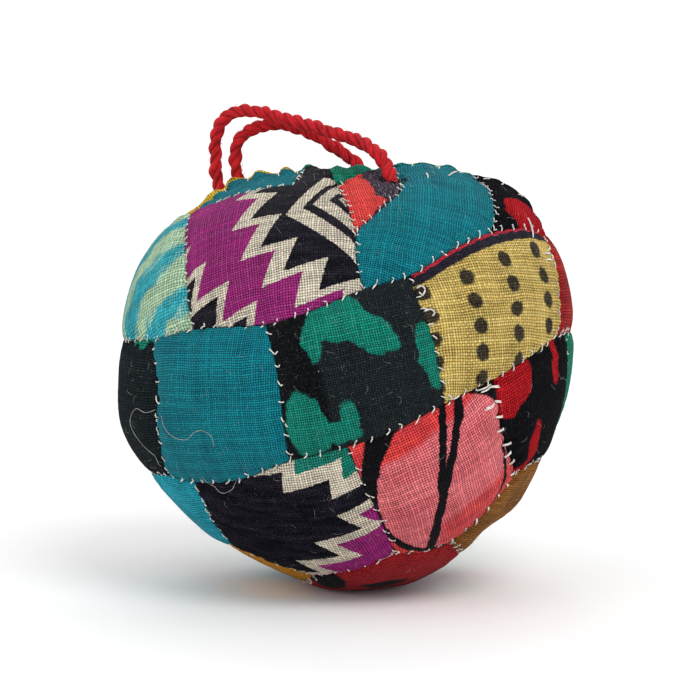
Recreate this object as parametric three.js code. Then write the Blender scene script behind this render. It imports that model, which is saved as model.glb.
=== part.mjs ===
// A hand-sewn patchwork ball, firmly filled, with a hanging loop of red twisted cord over its top.
// Millimetres, +Z up. The front of the ball faces -Y, and its flat spot rests on Z = 0.
import * as THREE from 'three';

// ---- Driving dimensions -------------------------------------------------------------------------

const LEAN_DEG = 8; // how far the ball tips back as it lies
const MIDDLE_HEIGHT = 42.4; // the ball's middle, above the flat spot
const FRONT_REACH = 44.5; // from the middle to the front of the cover
const BACK_REACH = 43.5; // from the middle to its back
const EVEN_REACH = 44.5; // the round form that the uneven outline fades to, towards front and back

// How far the cover reaches from the middle, seen from the front: clockwise from the top.
const OUTLINE = [
  { turn: 0, reach: 42.9 },
  { turn: 14, reach: 44.7 },
  { turn: 30, reach: 48.0 },
  { turn: 43, reach: 51.2 },
  { turn: 58, reach: 49.4 },
  { turn: 74, reach: 47.2 },
  { turn: 90, reach: 45.0 },
  { turn: 106, reach: 43.4 },
  { turn: 130, reach: 42.7 },
  { turn: 152, reach: 43.5 },
  { turn: 176, reach: 44.3 },
  { turn: 202, reach: 42.2 },
  { turn: 226, reach: 42.3 },
  { turn: 241, reach: 43.8 },
  { turn: 257, reach: 46.4 },
  { turn: 272, reach: 45.4 },
  { turn: 290, reach: 46.5 },
  { turn: 308, reach: 47.2 },
  { turn: 328, reach: 46.8 },
  { turn: 345, reach: 44.0 },
];

// The gathered seam that closes the cover stands up as a ridge across the top.
const RIDGE_SET_FORWARD_DEG = 2; // in front of the ball's crown
const RIDGE_HALF_WIDTH_DEG = 3.2;
const SCALLOP_DEG = 7; // from one whip stitch's pull to the next

// The ridge from left to right: its height over the cover, and how much of it each scallop loses.
const RIDGE = [
  { turn: -60, height: 0, scallop: 0 },
  { turn: -50, height: 0, scallop: 0 },
  { turn: -42, height: 1.2, scallop: 0.5 },
  { turn: -30, height: 2.0, scallop: 1.5 },
  { turn: -8, height: 2.2, scallop: 1.6 },
  { turn: 8, height: 2.2, scallop: 1.3 },
  { turn: 20, height: 1.6, scallop: 0.6 },
  { turn: 44, height: 1.3, scallop: 0.6 },
  { turn: 60, height: 0, scallop: 0 },
];

// Where the filling bulges or the cover is pulled in. turn goes right from the front, rise goes up
// from level, and spread is how wide the place is, all in degrees.
const BULGES = [
  { name: 'pull at the front cord hole', turn: 32, rise: 68, spread: 6, height: -1.6 },
  { name: 'pull at the back cord hole', turn: 145, rise: 79, spread: 6, height: -1.4 },
  { name: 'pull at the left cord hole', turn: -123, rise: 54, spread: 7, height: -1.4 },
  { name: 'puffed corner at the lower right', turn: 90, rise: -38, spread: 9, height: 1.1 },
  { name: 'tuck below it', turn: 92, rise: -50, spread: 8, height: -1.2 },
  { name: 'tuck at the ridge left end', turn: -90, rise: 49, spread: 9, height: -0.9 },
  { name: 'full cheek at the front', turn: 12, rise: 18, spread: 34, height: 0.9 },
  { name: 'slack at the lower left', turn: -40, rise: -38, spread: 22, height: -0.9 },
  { name: 'full cheek at the back', turn: 160, rise: -12, spread: 30, height: 0.8 },
  { name: 'slack at the upper back', turn: -165, rise: 38, spread: 24, height: -1.1 },
  { name: 'lump at the back left', turn: -130, rise: 4, spread: 16, height: 0.7 },
];

// The cover's mesh runs in bands from left to right, closest where the ridge and the holes are.
const RIM_BANDS = 6; // between each end and the ridge
const RIDGE_BANDS = 44;
const RIDGE_SPAN = { from: -52, to: 62 };
const NEAR_SPOKES = [2, 4.2, 6.5, 9.5, 13, 17, 21, 26, 32]; // to each side of the crown, in degrees
const FINE_SPOKES = [...NEAR_SPOKES.map((spoke) => -spoke).reverse(), 0, ...NEAR_SPOKES];
const COARSE_SPOKES = 28; // the rest of the way round

const CORD_WIDTH = 2.7;
const CORD_SIDES = 8;
const CORD_STEP = 3; // along the cord

// The strand at the front: up behind the ridge on the left, over, and into the hole at the front.
const FRONT_ROUTE = [
  [-24.0, 21.2, 73.9],
  [-25.7, 21.6, 77.3],
  [-26.6, 21.4, 81.0],
  [-26.8, 21.1, 85.1],
  [-26.5, 20.5, 89.0],
  [-25.4, 19.5, 92.2],
  [-23.2, 18.2, 94.2],
  [-19.9, 16.2, 94.7],
  [-16.2, 14.0, 94.3],
  [-12.6, 11.6, 93.5],
  [-8.7, 9.1, 92.7],
  [-5.3, 6.6, 92.0],
  [-1.9, 4.0, 91.2],
  [1.5, 1.3, 90.3],
  [4.4, -1.3, 89.1],
  [6.8, -4.0, 87.4],
  [8.3, -6.1, 85.3],
  [8.9, -7.9, 83.8],
];

// The strand at the back: up beside the first, under its crown, and down behind the ridge.
const BACK_ROUTE = [
  [-20.2, 20.8, 76.2],
  [-21.8, 21.0, 79.4],
  [-22.5, 21.0, 82.6],
  [-22.6, 20.8, 85.8],
  [-21.8, 20.2, 88.5],
  [-20.0, 19.3, 90.3],
  [-17.7, 18.2, 91.4],
  [-15.1, 17.2, 91.8],
  [-11.8, 16.2, 91.7],
  [-8.6, 15.1, 90.9],
  [-5.6, 14.1, 89.5],
  [-2.9, 13.3, 87.9],
  [-0.5, 12.7, 86.4],
  [1.7, 12.2, 84.6],
  [3.3, 11.7, 81.8],
];

const CLOTH = { color: 0x12777f, roughness: 0.92, metalness: 0 };
const RED_CORD = { color: 0xc4202c, roughness: 0.85, metalness: 0 };

// ---- Shapes -------------------------------------------------------------------------------------

const radians = THREE.MathUtils.degToRad;

// The outline again with a lap's rows before and after it, so that it closes smoothly.
const CLOSED_OUTLINE = [-360, 0, 360].flatMap((lap) => (
  OUTLINE.map(({ turn, reach }) => ({ turn: turn + lap, reach }))
));

/** The value of one column of a table at a turn, along a smooth line through its rows. */
function along(rows, column, turn) {
  let i = 1;
  while (i < rows.length - 2 && rows[i + 1].turn <= turn) i += 1;
  const [before, from, to, after] = [rows[i - 1], rows[i], rows[i + 1], rows[i + 2] ?? rows[i + 1]];
  const width = to.turn - from.turn;
  const slope = (a, b) => ((b[column] - a[column]) / (b.turn - a.turn)) * width;
  const t = THREE.MathUtils.clamp((turn - from.turn) / width, 0, 1);
  const bend = (1 - t) * (1 - t) * t * slope(before, to) - (1 - t) * t * t * slope(from, after);
  return from[column] + (to[column] - from[column]) * t * t * (3 - 2 * t) + bend;
}

/** The unit direction that lies turn degrees right of the front and rise degrees above level. */
function direction(turn, rise) {
  const flat = Math.cos(radians(rise));
  return new THREE.Vector3(
    flat * Math.sin(radians(turn)),
    -flat * Math.cos(radians(turn)),
    Math.sin(radians(rise)),
  );
}

/** How far the ridge stands over the cover, turn degrees right of the top and behind degrees back of it. */
function ridgeHeight(turn, behind) {
  if (turn < RIDGE[0].turn || turn > RIDGE[RIDGE.length - 1].turn) return 0;
  const across = (behind + RIDGE_SET_FORWARD_DEG) / RIDGE_HALF_WIDTH_DEG;
  const dip = 1 - Math.abs(Math.sin((Math.PI * turn) / SCALLOP_DEG));
  const crest = along(RIDGE, 'height', turn) - along(RIDGE, 'scallop', turn) * dip;
  return Math.max(crest, 0) * Math.exp(-across * across);
}

/** How far the bulges and pulls move the cover out along a unit direction. */
function bulge(toward) {
  return BULGES.reduce((sum, { turn, rise, spread, height }) => {
    const away = toward.angleTo(direction(turn, rise)) / radians(spread);
    return sum + height * Math.exp(-away * away);
  }, 0);
}

/** The point of the cover on one band and spoke, before the ball leans and settles. */
function coverPoint(bandDeg, spokeDeg) {
  const level = Math.cos(radians(bandDeg));
  const toward = new THREE.Vector3(
    Math.sin(radians(bandDeg)),
    level * Math.sin(radians(spokeDeg)),
    level * Math.cos(radians(spokeDeg)),
  );
  const facing = Math.hypot(toward.x, toward.z);
  const turn = THREE.MathUtils.radToDeg(Math.atan2(toward.x, toward.z));
  const uneven = along(CLOSED_OUTLINE, 'reach', turn) - EVEN_REACH - along(RIDGE, 'height', turn);
  const reach = EVEN_REACH + uneven * facing ** 3;
  const depth = toward.y < 0 ? FRONT_REACH : BACK_REACH;
  const round = 1 / Math.hypot(facing / reach, toward.y / depth);
  return toward.clone().multiplyScalar(round + ridgeHeight(turn, spokeDeg) + bulge(toward));
}

/** Evenly spaced values from one end to the other, both included. */
function steps(from, to, count) {
  return Array.from({ length: count + 1 }, (_, i) => from + ((to - from) * i) / count);
}

/** Closes rings of points between two end points into one body with its faces pointing out. */
function closedBody(leftEnd, rings, rightEnd) {
  const around = rings[0].length;
  const points = [leftEnd, ...rings.flat(), rightEnd];
  const last = points.length - 1;
  const at = (ring, spoke) => 1 + ring * around + (spoke % around);
  const faces = [];
  for (let s = 0; s < around; s += 1) {
    faces.push(0, at(0, s), at(0, s + 1));
    for (let r = 0; r < rings.length - 1; r += 1) {
      faces.push(at(r, s), at(r + 1, s), at(r + 1, s + 1));
      faces.push(at(r, s), at(r + 1, s + 1), at(r, s + 1));
    }
    faces.push(at(rings.length - 1, s), last, at(rings.length - 1, s + 1));
  }
  const geometry = new THREE.BufferGeometry().setFromPoints(points);
  geometry.setIndex(faces);
  return geometry;
}

/** The filled cover: uneven all round, with its ridge and pulls, leaning back on its flat spot. */
function stuffedBall() {
  const bands = [
    ...steps(-90, RIDGE_SPAN.from, RIM_BANDS).slice(1, -1),
    ...steps(RIDGE_SPAN.from, RIDGE_SPAN.to, RIDGE_BANDS),
    ...steps(RIDGE_SPAN.to, 90, RIM_BANDS - 1).slice(1, -1),
  ];
  const last = FINE_SPOKES[FINE_SPOKES.length - 1];
  const spokes = [...FINE_SPOKES, ...steps(last, 360 + FINE_SPOKES[0], COARSE_SPOKES).slice(1, -1)];
  const settle = (point) => {
    point.applyAxisAngle(new THREE.Vector3(1, 0, 0), radians(-LEAN_DEG));
    point.z = Math.max(point.z + MIDDLE_HEIGHT, 0);
    return point;
  };
  const rings = bands.map((band) => spokes.map((spoke) => settle(coverPoint(band, spoke))));
  const geometry = closedBody(settle(coverPoint(-90, 0)), rings, settle(coverPoint(90, 0)));
  geometry.computeBoundingBox();
  const middle = geometry.boundingBox.getCenter(new THREE.Vector3());
  return geometry.translate(-middle.x, -middle.y, 0);
}

/** One strand of the hanging loop, a plain round tube along its route. */
function cordStrand(route) {
  const points = route.map((point) => new THREE.Vector3(...point));
  const path = new THREE.CatmullRomCurve3(points, false, 'centripetal');
  const section = new THREE.Shape(
    Array.from({ length: CORD_SIDES }, (_, i) => {
      const angle = (2 * Math.PI * i) / CORD_SIDES;
      return new THREE.Vector2(Math.cos(angle), Math.sin(angle)).multiplyScalar(CORD_WIDTH / 2);
    }),
  );
  return new THREE.ExtrudeGeometry(section, {
    steps: Math.round(path.getLength() / CORD_STEP),
    extrudePath: path,
  });
}

/** A named mesh with its own material. */
function piece(name, geometry, look) {
  const mesh = new THREE.Mesh(geometry, new THREE.MeshStandardMaterial(look));
  mesh.name = name;
  return mesh;
}

// ---- The ball and its loop ----------------------------------------------------------------------

const patchworkBall = new THREE.Group();
patchworkBall.add(piece('stuffed_ball', stuffedBall(), CLOTH));
patchworkBall.add(piece('cord_front_strand', cordStrand(FRONT_ROUTE), RED_CORD));
patchworkBall.add(piece('cord_back_strand', cordStrand(BACK_ROUTE), RED_CORD));

export default patchworkBall;
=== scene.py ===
"""The looks of a hand-sewn patchwork ball with a hanging loop of red twisted cord.

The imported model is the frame: metres, +Z up, the front of the ball facing -Y. The making
works in millimetres and turns to metres where a mesh is filled.
"""

import logging
from collections.abc import Callable, Iterator
from contextlib import contextmanager
from dataclasses import dataclass, field
from enum import Enum
from math import cos, pi, radians, sin, sqrt

import bpy
import numpy as np
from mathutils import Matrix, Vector, noise
from mathutils.bvhtree import BVHTree


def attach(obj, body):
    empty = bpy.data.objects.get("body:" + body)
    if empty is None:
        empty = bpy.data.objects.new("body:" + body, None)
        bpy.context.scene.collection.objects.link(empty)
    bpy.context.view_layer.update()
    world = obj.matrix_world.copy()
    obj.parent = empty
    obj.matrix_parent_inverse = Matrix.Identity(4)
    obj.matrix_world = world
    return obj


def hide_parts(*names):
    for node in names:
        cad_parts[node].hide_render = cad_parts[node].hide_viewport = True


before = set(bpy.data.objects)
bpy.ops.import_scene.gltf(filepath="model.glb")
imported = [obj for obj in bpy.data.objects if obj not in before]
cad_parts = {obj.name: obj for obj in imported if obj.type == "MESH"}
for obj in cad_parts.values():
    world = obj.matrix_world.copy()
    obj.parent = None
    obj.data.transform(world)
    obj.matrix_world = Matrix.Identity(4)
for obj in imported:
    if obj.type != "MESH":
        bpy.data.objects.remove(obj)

log = logging.getLogger("patchwork_ball")
Array, Piece, Finish = np.ndarray, bpy.types.Object, bpy.types.Material
Pair = tuple[float, float]

MM = 0.001
BODY = "root"
CLOTH_SLOT = "patchwork_cloth"
CORD_SLOT = "red_cord"
BALL_NODE = "stuffed_ball"
MIDDLE = np.array([0.0, 0.0, 42.4])  # the ball's middle
REACH = 45.0  # from the middle to the cover, roughly
RIDGE_LEAN_DEG = 6.0  # how far back the crest of the ridge leans
SAME_POINT = 0.00001  # metres: points nearer than this are merged


# ---- Finishes ----


def dye(code: str) -> tuple[float, float, float, float]:
    """Turns a colour written as six hexadecimal digits into the light that it sends back."""
    parts = (int(code[k:k + 2], 16) / 255 for k in (0, 2, 4))
    return (*(p / 12.92 if p <= 0.04045 else ((p + 0.055) / 1.055) ** 2.4 for p in parts), 1.0)


def arithmetic(operation: str) -> Callable[["Value", object], "Value"]:
    """A method of the class below that works one step of arithmetic with another value.

    Args:
        operation: The step: ADD and the like, or GREATER_THAN for one where the first is greater
            and otherwise nothing.

    Returns:
        The method.
    """

    def worked(self: "Value", other: object) -> "Value":
        """The step's result."""
        return self.web.math(operation, self, other)

    return worked


class Value:
    """A number, place or colour in a finish, which arithmetic builds on."""

    def __init__(self, web: "Web", socket: bpy.types.NodeSocket) -> None:
        """Keeps the socket that the value comes from."""
        self.web, self.socket = web, socket

    __add__ = __radd__ = arithmetic("ADD")
    __mul__ = __rmul__ = arithmetic("MULTIPLY")
    __sub__, __truediv__, __pow__ = map(arithmetic, ("SUBTRACT", "DIVIDE", "POWER"))
    least, most, over = map(arithmetic, ("MINIMUM", "MAXIMUM", "GREATER_THAN"))

    def __rsub__(self, other: object) -> "Value":
        """The difference the other way round."""
        return self.web.math("SUBTRACT", other, self)

    def step(self, low: float, high: float) -> "Value":
        """A soft step from nothing at low to one at high."""
        parts = {0: self, 1: low, 2: high}
        return self.web.value("ShaderNodeMapRange", parts, interpolation_type="SMOOTHSTEP")

    def odd(self) -> "Value":
        """One where it is an odd whole number, and nothing where it is even."""
        return self.web.math("FLOORED_MODULO", self, 2.0)

    def shape(self, operation: str) -> "Value":
        """One of the one-sided operations, such as SINE, FLOOR or FRACT."""
        return self.web.math(operation, self)


class Web:
    """One finish as it is built, node by node."""

    def __init__(self, name: str, pattern: str) -> None:
        """Starts a finish whose pattern follows one of the piece's maps.

        Args:
            name: What the finish is called.
            pattern: The map.
        """
        self.material = bpy.data.materials.new(name)
        self.material.use_nodes = True
        self.tree = self.material.node_tree
        self.shader = self.tree.nodes["Principled BSDF"]
        self.pattern = pattern

    def node(self, kind: str, inputs: dict | None = None, **settings: object) -> bpy.types.Node:
        """Adds a node.

        Args:
            kind: The node's type.
            inputs: What goes into its sockets, by name or number.
            settings: Its own settings.

        Returns:
            The node.
        """
        made = self.tree.nodes.new(kind)
        for name, value in settings.items():
            setattr(made, name, value)
        for key, value in (inputs or {}).items():
            self.put(value, made.inputs[key])
        return made

    def put(self, value: object, socket: bpy.types.NodeSocket) -> None:
        """Links a value to a socket, or sets a constant on it.

        Args:
            value: The value or constant.
            socket: Where it goes.
        """
        if isinstance(value, Value):
            self.tree.links.new(value.socket, socket)
        else:
            socket.default_value = value

    def value(self, kind: str, inputs: dict, output: int | str = 0, **settings: object) -> Value:
        """What comes out of a new node."""
        return Value(self, self.node(kind, inputs, **settings).outputs[output])

    def math(self, operation: str, *parts: object) -> Value:
        """One step of arithmetic on numbers."""
        return self.value("ShaderNodeMath", dict(enumerate(parts)), operation=operation)

    def vector(self, operation: str, *parts: object, output: int = 0) -> Value:
        """One step of arithmetic on places or colours."""
        parts = dict(enumerate(parts))
        return self.value("ShaderNodeVectorMath", parts, output, operation=operation)

    def place(self, name: str | None = None) -> Value:
        """Where on one of the piece's maps the surface is."""
        return self.value("ShaderNodeUVMap", {}, uv_map=name or self.pattern)

    def solid_place(self) -> Value:
        """Where in the piece's own space the surface is."""
        return self.value("ShaderNodeTexCoord", {}, "Object")

    def split(self, place: Value) -> tuple[Value, Value]:
        """The first two parts of a place."""
        made = self.node("ShaderNodeSeparateXYZ", {0: place})
        return Value(self, made.outputs[0]), Value(self, made.outputs[1])

    def joined(self, x: object, y: object, z: object = 0.0) -> Value:
        """A place made of its parts."""
        return self.value("ShaderNodeCombineXYZ", {0: x, 1: y, 2: z})

    def moved(self, place: Value, by: Value, far: float) -> Value:
        """A place pushed aside by an uneven amount."""
        aside = self.vector("SUBTRACT", by, (0.5, 0.5, 0.5))
        return self.vector("MULTIPLY_ADD", aside, (far, far, 0.0), place)

    def scaled(self, place: Value, x: float, y: float) -> Value:
        """A place drawn out or pressed together."""
        return self.vector("MULTIPLY", place, (x, y, 1.0))

    def along(self, place: Value, degrees: float) -> Value:
        """How far a place lies along a line at an angle."""
        way = (cos(radians(degrees)), sin(radians(degrees)), 0.0)
        return self.vector("DOT_PRODUCT", place, way, output=1)

    def cloudy(self, place: Value, scale: float, detail: float = 2.0,
               colour: bool = False) -> Value:
        """Uneven values that change smoothly from place to place.

        Args:
            place: Where.
            scale: How many changes a unit of it has.
            detail: How much finer the finest change is.
            colour: Whether three values are wanted.

        Returns:
            The values, from nothing to one.
        """
        parts = {"Vector": place, "Scale": scale, "Detail": detail}
        return self.value("ShaderNodeTexNoise", parts, "Color" if colour else "Fac")

    def chance(self, number: Value) -> Value:
        """A value by chance for each whole number."""
        parts = {"W": number}
        return self.value("ShaderNodeTexWhiteNoise", parts, "Value", noise_dimensions="1D")

    def mix(self, share: object, one: object, other: object) -> Value:
        """A colour between two others."""
        return self.value("ShaderNodeMix", {0: share, 6: one, 7: other}, 2, data_type="RGBA")

    def dimmed(self, colour: Value, by: Value) -> Value:
        """A colour made lighter or darker."""
        parts = {0: colour, "Scale": by}
        return self.value("ShaderNodeVectorMath", parts, operation="SCALE")

    def bands(self, value: Value, stops: tuple, low: float, high: float) -> Value:
        """Bands of colour, each from its own mark up to the next.

        Args:
            value: What the bands follow.
            stops: The marks with their colours.
            low: The value at the first colour's start.
            high: The value at the last colour's end.

        Returns:
            The colour.
        """
        made = self.node("ShaderNodeValToRGB", {0: (value - low) / (high - low)})
        made.color_ramp.interpolation = "CONSTANT"
        marks = made.color_ramp.elements
        while len(marks) < len(stops):
            marks.new(1.0)
        for mark, (at, colour) in zip(marks, stops):
            mark.position = (at - low) / (high - low)
            mark.color = dye(colour)
        return Value(self, made.outputs[0])

    def surfaced(self, colour: Value, roughness: Value, height: Value, depth: float,
                 gloss: float, sheen: float, strength: float = 1.0) -> Finish:
        """Gives the finish its colour and its surface.

        Args:
            colour: The colour.
            roughness: How matt it is.
            height: How far the surface stands out, up to one.
            depth: What one stands for, in metres.
            gloss: How much it shines.
            sheen: How much its fibres catch the light.
            strength: How much of the relief shows.

        Returns:
            The whole finish.
        """
        relief = {"Height": height, "Distance": depth, "Strength": strength}
        for name, value in (("Base Color", colour), ("Roughness", roughness),
                            ("Normal", self.value("ShaderNodeBump", relief)),
                            ("Specular IOR Level", gloss), ("Sheen Weight", sheen)):
            self.put(value, self.shader.inputs[name])
        return self.material


class Dye:
    """The dyes that more than one cloth or line has, as six hexadecimal digits."""

    BLACK, NAVY, CREAM, MAGENTA = "0e0d12", "0c0d16", "d2c8b4", "982673"
    TEAL, GREEN, BLACK_GREEN = "107d88", "127c6a", "1a2226"
    CORAL, PINK, RED, YELLOW = "e34744", "ea8085", "a81a22", "cdb56a"


@dataclass(frozen=True)
class Plain:
    """Cotton of one dye, a little uneven from thread to thread."""

    light: str
    dark: str
    streaks: float = 0.35

    def colour(self, web: Web, place: Value) -> Value:
        """The cloth's colour at a place.

        Args:
            web: The finish that the cloth gets.
            place: Where on the cloth.

        Returns:
            The colour.
        """
        cloud = web.cloudy(place, 0.11, 3)
        streak = web.cloudy(web.scaled(place, 0.07, 0.9), 1.0, 2)
        share = (cloud * (1 - self.streaks) + streak * self.streaks).step(0.3, 0.7)
        return web.mix(share, dye(self.dark), dye(self.light))


@dataclass(frozen=True)
class Marbled:
    """Cotton with broad drifts of two dyes that run into each other."""

    ground: str = "a8c3a0"  # the pale drifts
    vein: str = "38a3ad"  # the deeper ones between them
    deep: str = "1a889d"  # the thin lines where the dye settled
    pitch: float = 11.5  # from one drift to the next
    lean: float = 26.0  # how far the drifts climb, in degrees

    def colour(self, web: Web, place: Value) -> Value:
        """The cloth's colour at a place.

        Args:
            web: The finish that the cloth gets.
            place: Where on the cloth.

        Returns:
            The colour.
        """
        stirred = web.moved(place, web.cloudy(place, 0.085, 3, colour=True), 14.0)
        across = web.along(stirred, 90 + self.lean) + 7.0
        wave = (across * (2 * pi / self.pitch)).shape("SINE")
        wave = wave + (web.along(place, self.lean) * 0.045).least(0.7) - 0.05
        streak = web.cloudy(web.joined(across * 0.8, web.along(stirred, self.lean) * 0.12), 1.0, 3)
        share = (wave + (streak - 0.5) * 2.2).step(-0.5, 0.4)
        ground = web.mix(share, dye(self.vein), dye(self.ground))
        thin = (streak - 0.52).shape("ABSOLUTE").step(0.01, 0.05)
        return web.mix((1 - thin) * (1 - share * 0.75) * 0.7, ground, dye(self.deep))


@dataclass(frozen=True)
class Teeth:
    """A toothed line across a print, with one colour beyond it."""

    mark: float  # how far out the line lies, in millimetres
    colour: str  # the colour beyond
    facing: float  # which way is beyond, in degrees
    pitch: float  # from one tooth to the next
    relief: float  # how deep the teeth are cut
    rise: float = 0.5  # the share of each tooth that its first side takes
    slant: float = 0.0  # how far the teeth lean
    start: float = 0.0  # where the first tooth starts
    bend: float = 0.0  # how much the line curves
    bend_at: float = 0.0  # where along it the curve turns

    def beyond(self, web: Web, place: Value) -> Value:
        """One beyond the line, and nothing before it.

        Args:
            web: The finish that the cloth gets.
            place: Where on the cloth.

        Returns:
            Which it is.
        """
        out = web.along(place, self.facing)
        along = web.along(place, self.facing - 90)
        part = ((along - out * self.slant - self.start) / self.pitch).shape("FRACT")
        tooth = (part / self.rise).least((1 - part) / (1 - self.rise)) * self.relief
        curve = along - self.bend_at
        return (out + tooth - curve * curve * self.bend).step(self.mark - 0.1, self.mark + 0.1)


@dataclass(frozen=True)
class Nest:
    """Chevrons set one inside another."""

    low: float  # which way the lower arms face, in degrees
    high: float  # which way the upper arms face
    meet: Pair  # how far out the two arms first meet
    squeeze: float  # how much narrower the upper arms' bands are
    marks: tuple  # where each band starts, with its colour

    def painted(self, web: Web, place: Value, colour: Value) -> Value:
        """The print's colour with the chevrons over it.

        Args:
            web: The finish that the cloth gets.
            place: Where on the cloth.
            colour: The colour without them.

        Returns:
            The colour with them.
        """
        lower = web.along(place, self.low)
        upper = (web.along(place, self.high) - self.meet[1]) * self.squeeze + self.meet[0]
        inner = lower.least(upper)
        bands = web.bands(inner, self.marks, self.marks[0][0], self.marks[-1][0] + 12.0)
        return web.mix(inner.over(self.marks[0][0]), colour, bands)


@dataclass(frozen=True)
class Toothed:
    """Bands of colour parted by rows of teeth, some with a nest of chevrons."""

    ground: str  # the colour before the first row
    rows: tuple[Teeth, ...]  # each painted over the ones before it
    nest: Nest | None = None

    def colour(self, web: Web, place: Value) -> Value:
        """The cloth's colour at a place.

        Args:
            web: The finish that the cloth gets.
            place: Where on the cloth.

        Returns:
            The colour.
        """
        cloud = web.cloudy(web.scaled(place, 0.1, 0.5), 1.0, 2).step(0.3, 0.75) * 0.22
        colour = dye(self.ground)
        for row in self.rows:
            colour = web.mix(row.beyond(web, place), colour, dye(row.colour))
        if self.nest is not None:
            colour = self.nest.painted(web, place, colour)
        return web.mix(cloud, colour, dye("4a4250"))


@dataclass(frozen=True)
class Dotted:
    """Staggered round dots, with a dark selvedge and a thin red line along the top."""

    ground: str = Dye.YELLOW
    dot: str = "2a2523"
    column: float = 10.6  # from one column to the next
    row: float = 4.95
    first: Pair = (-9.3, 0.2)  # where the first column and row lie
    radius: float = 1.65
    stagger: float = 0.4  # how far every other column is shifted, for a row

    def colour(self, web: Web, place: Value) -> Value:
        """The cloth's colour at a place.

        Args:
            web: The finish that the cloth gets.
            place: Where on the cloth.

        Returns:
            The colour.
        """
        swayed = web.moved(place, web.cloudy(place, 0.09, 1, colour=True), 2.4)
        x, y = web.split(swayed)
        x, y = x - self.first[0], y - self.first[1]
        column = (x / self.column).shape("ROUND")
        height = y / self.row + column.odd() * self.stagger
        aside = x - column * self.column
        above = (height - height.shape("ROUND")) * self.row
        away = (aside * aside + above * above) ** 0.5
        worn = web.cloudy(place, 1.3, 2)
        spot = 1 - (away + (worn - 0.5) * 0.9).step(self.radius - 0.3, self.radius + 0.3)
        cloud = web.cloudy(web.scaled(place, 0.07, 1.4), 1.0, 2).step(0.3, 0.7)
        ground = web.mix(cloud, dye("bb9f54"), dye(self.ground))
        colour = web.mix(spot * (0.84 + worn * 0.25), ground, dye(self.dot))
        edge = web.split(web.place("Share"))[1] + (worn - 0.5) * 0.016
        colour = web.mix(edge.step(0.885, 0.9), colour, dye("24202c"))
        return web.mix(edge.step(0.968, 0.976), colour, dye("b5283d"))


@dataclass(frozen=True)
class Blotched:
    """Uneven blotches of one colour on another."""

    ground: str
    blotch: str
    spots: tuple  # each one's middle, half width, half height and turn
    ragged: float = 3.0  # how far the blotches' edges wander
    repeat: float = 42.0
    shade: str | None = None  # the ground's colour left of the edge below
    shade_edge: float = -7.0

    def colour(self, web: Web, place: Value) -> Value:
        """The cloth's colour at a place.

        Args:
            web: The finish that the cloth gets.
            place: Where on the cloth.

        Returns:
            The colour.
        """
        stirred = web.moved(place, web.cloudy(place, 0.26, 2, colour=True), self.ragged * 2)
        wrapped = self.wrapped(web, stirred)
        px, py = web.split(wrapped)
        inside = None
        for x, y, wide, high, turn in self.spots:
            at = web.joined(px - x, py - y)
            u, v = web.along(at, turn) / wide, web.along(at, turn + 90) / high
            away = ((u * u + v * v) ** 0.5 - 1) * min(wide, high)
            inside = away if inside is None else inside.least(away)
        ground = web.mix(web.cloudy(place, 0.16, 2) * 0.4, dye(self.ground), dye("1c2023"))
        if self.shade is not None:
            side = 1 - px.step(self.shade_edge - 0.5, self.shade_edge + 0.8)
            ground = web.mix(side, ground, dye(self.shade))
        return web.mix(1 - inside.step(-0.25, 0.3), ground, dye(self.blotch))

    def wrapped(self, web: Web, place: Value) -> Value:
        """The place within one repeat of the print.

        Args:
            web: The finish that the cloth gets.
            place: Where on the cloth.

        Returns:
            The same place near the middle.
        """
        half = self.repeat / 2
        parts = [((v + half) / self.repeat).shape("FRACT") * self.repeat - half
                 for v in web.split(place)]
        return web.joined(*parts)


@dataclass(frozen=True)
class Petals:
    """Broad pale petals parted by dark lines, deeper along the top and the bottom."""

    ground: str = Dye.CORAL
    light: str = Dye.PINK
    line: str = Dye.BLACK
    middle: Pair = (1.5, 0.5)  # where the flower's middle lies, in millimetres
    half: Pair = (18.1, 20.8)  # half its width and height

    def colour(self, web: Web, place: Value) -> Value:
        """The cloth's colour at a place.

        Args:
            web: The finish that the cloth gets.
            place: Where on the cloth.

        Returns:
            The colour.
        """
        swayed = web.moved(place, web.cloudy(place, 0.3, 2, colour=True), 1.5)
        x, y = web.split(swayed)
        u, v = ((at - mid) / half for at, mid, half in zip((x, y), self.middle, self.half))
        away = (u * u + v * v) ** 0.5
        cloud = web.cloudy(web.scaled(place, 0.12, 0.2), 1.0, 2).step(0.35, 0.65)
        petal = web.mix(cloud * 0.6, dye("d8686f"), dye(self.light))
        deep = web.mix(cloud, dye("c83a40"), dye(self.ground))
        top = (y - x * 0.15).step(11.4, 13.2)
        low = (x * 0.23 - y - 7.4).step(0.0, 2.6) * x.step(-7.0, -3.0) * 0.8
        colour = web.mix(top.most(low).most(away.step(1.0, 1.01)), petal, deep)
        left = ((away - 1).shape("ABSOLUTE") * self.half[0]) / (y * 0.07 + 1.1).most(0.8)
        right = x - y * 0.51 - y * y * 0.0085 + 1.6
        gap = (y * 0.24 + 0.8).most(0.0)
        fork = (right.shape("ABSOLUTE") / 1.15).least((right + gap).shape("ABSOLUTE") / 0.9)
        rim = (x - 14.0 - y * 0.02 + y * y * 0.027).shape("ABSOLUTE") / 0.5
        rim = rim + (y + 1.5).step(0.0, 3.0)
        lines = left.least(fork).least(rim)
        return web.mix(1 - lines.step(0.85, 1.1), colour, dye(self.line))


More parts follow.
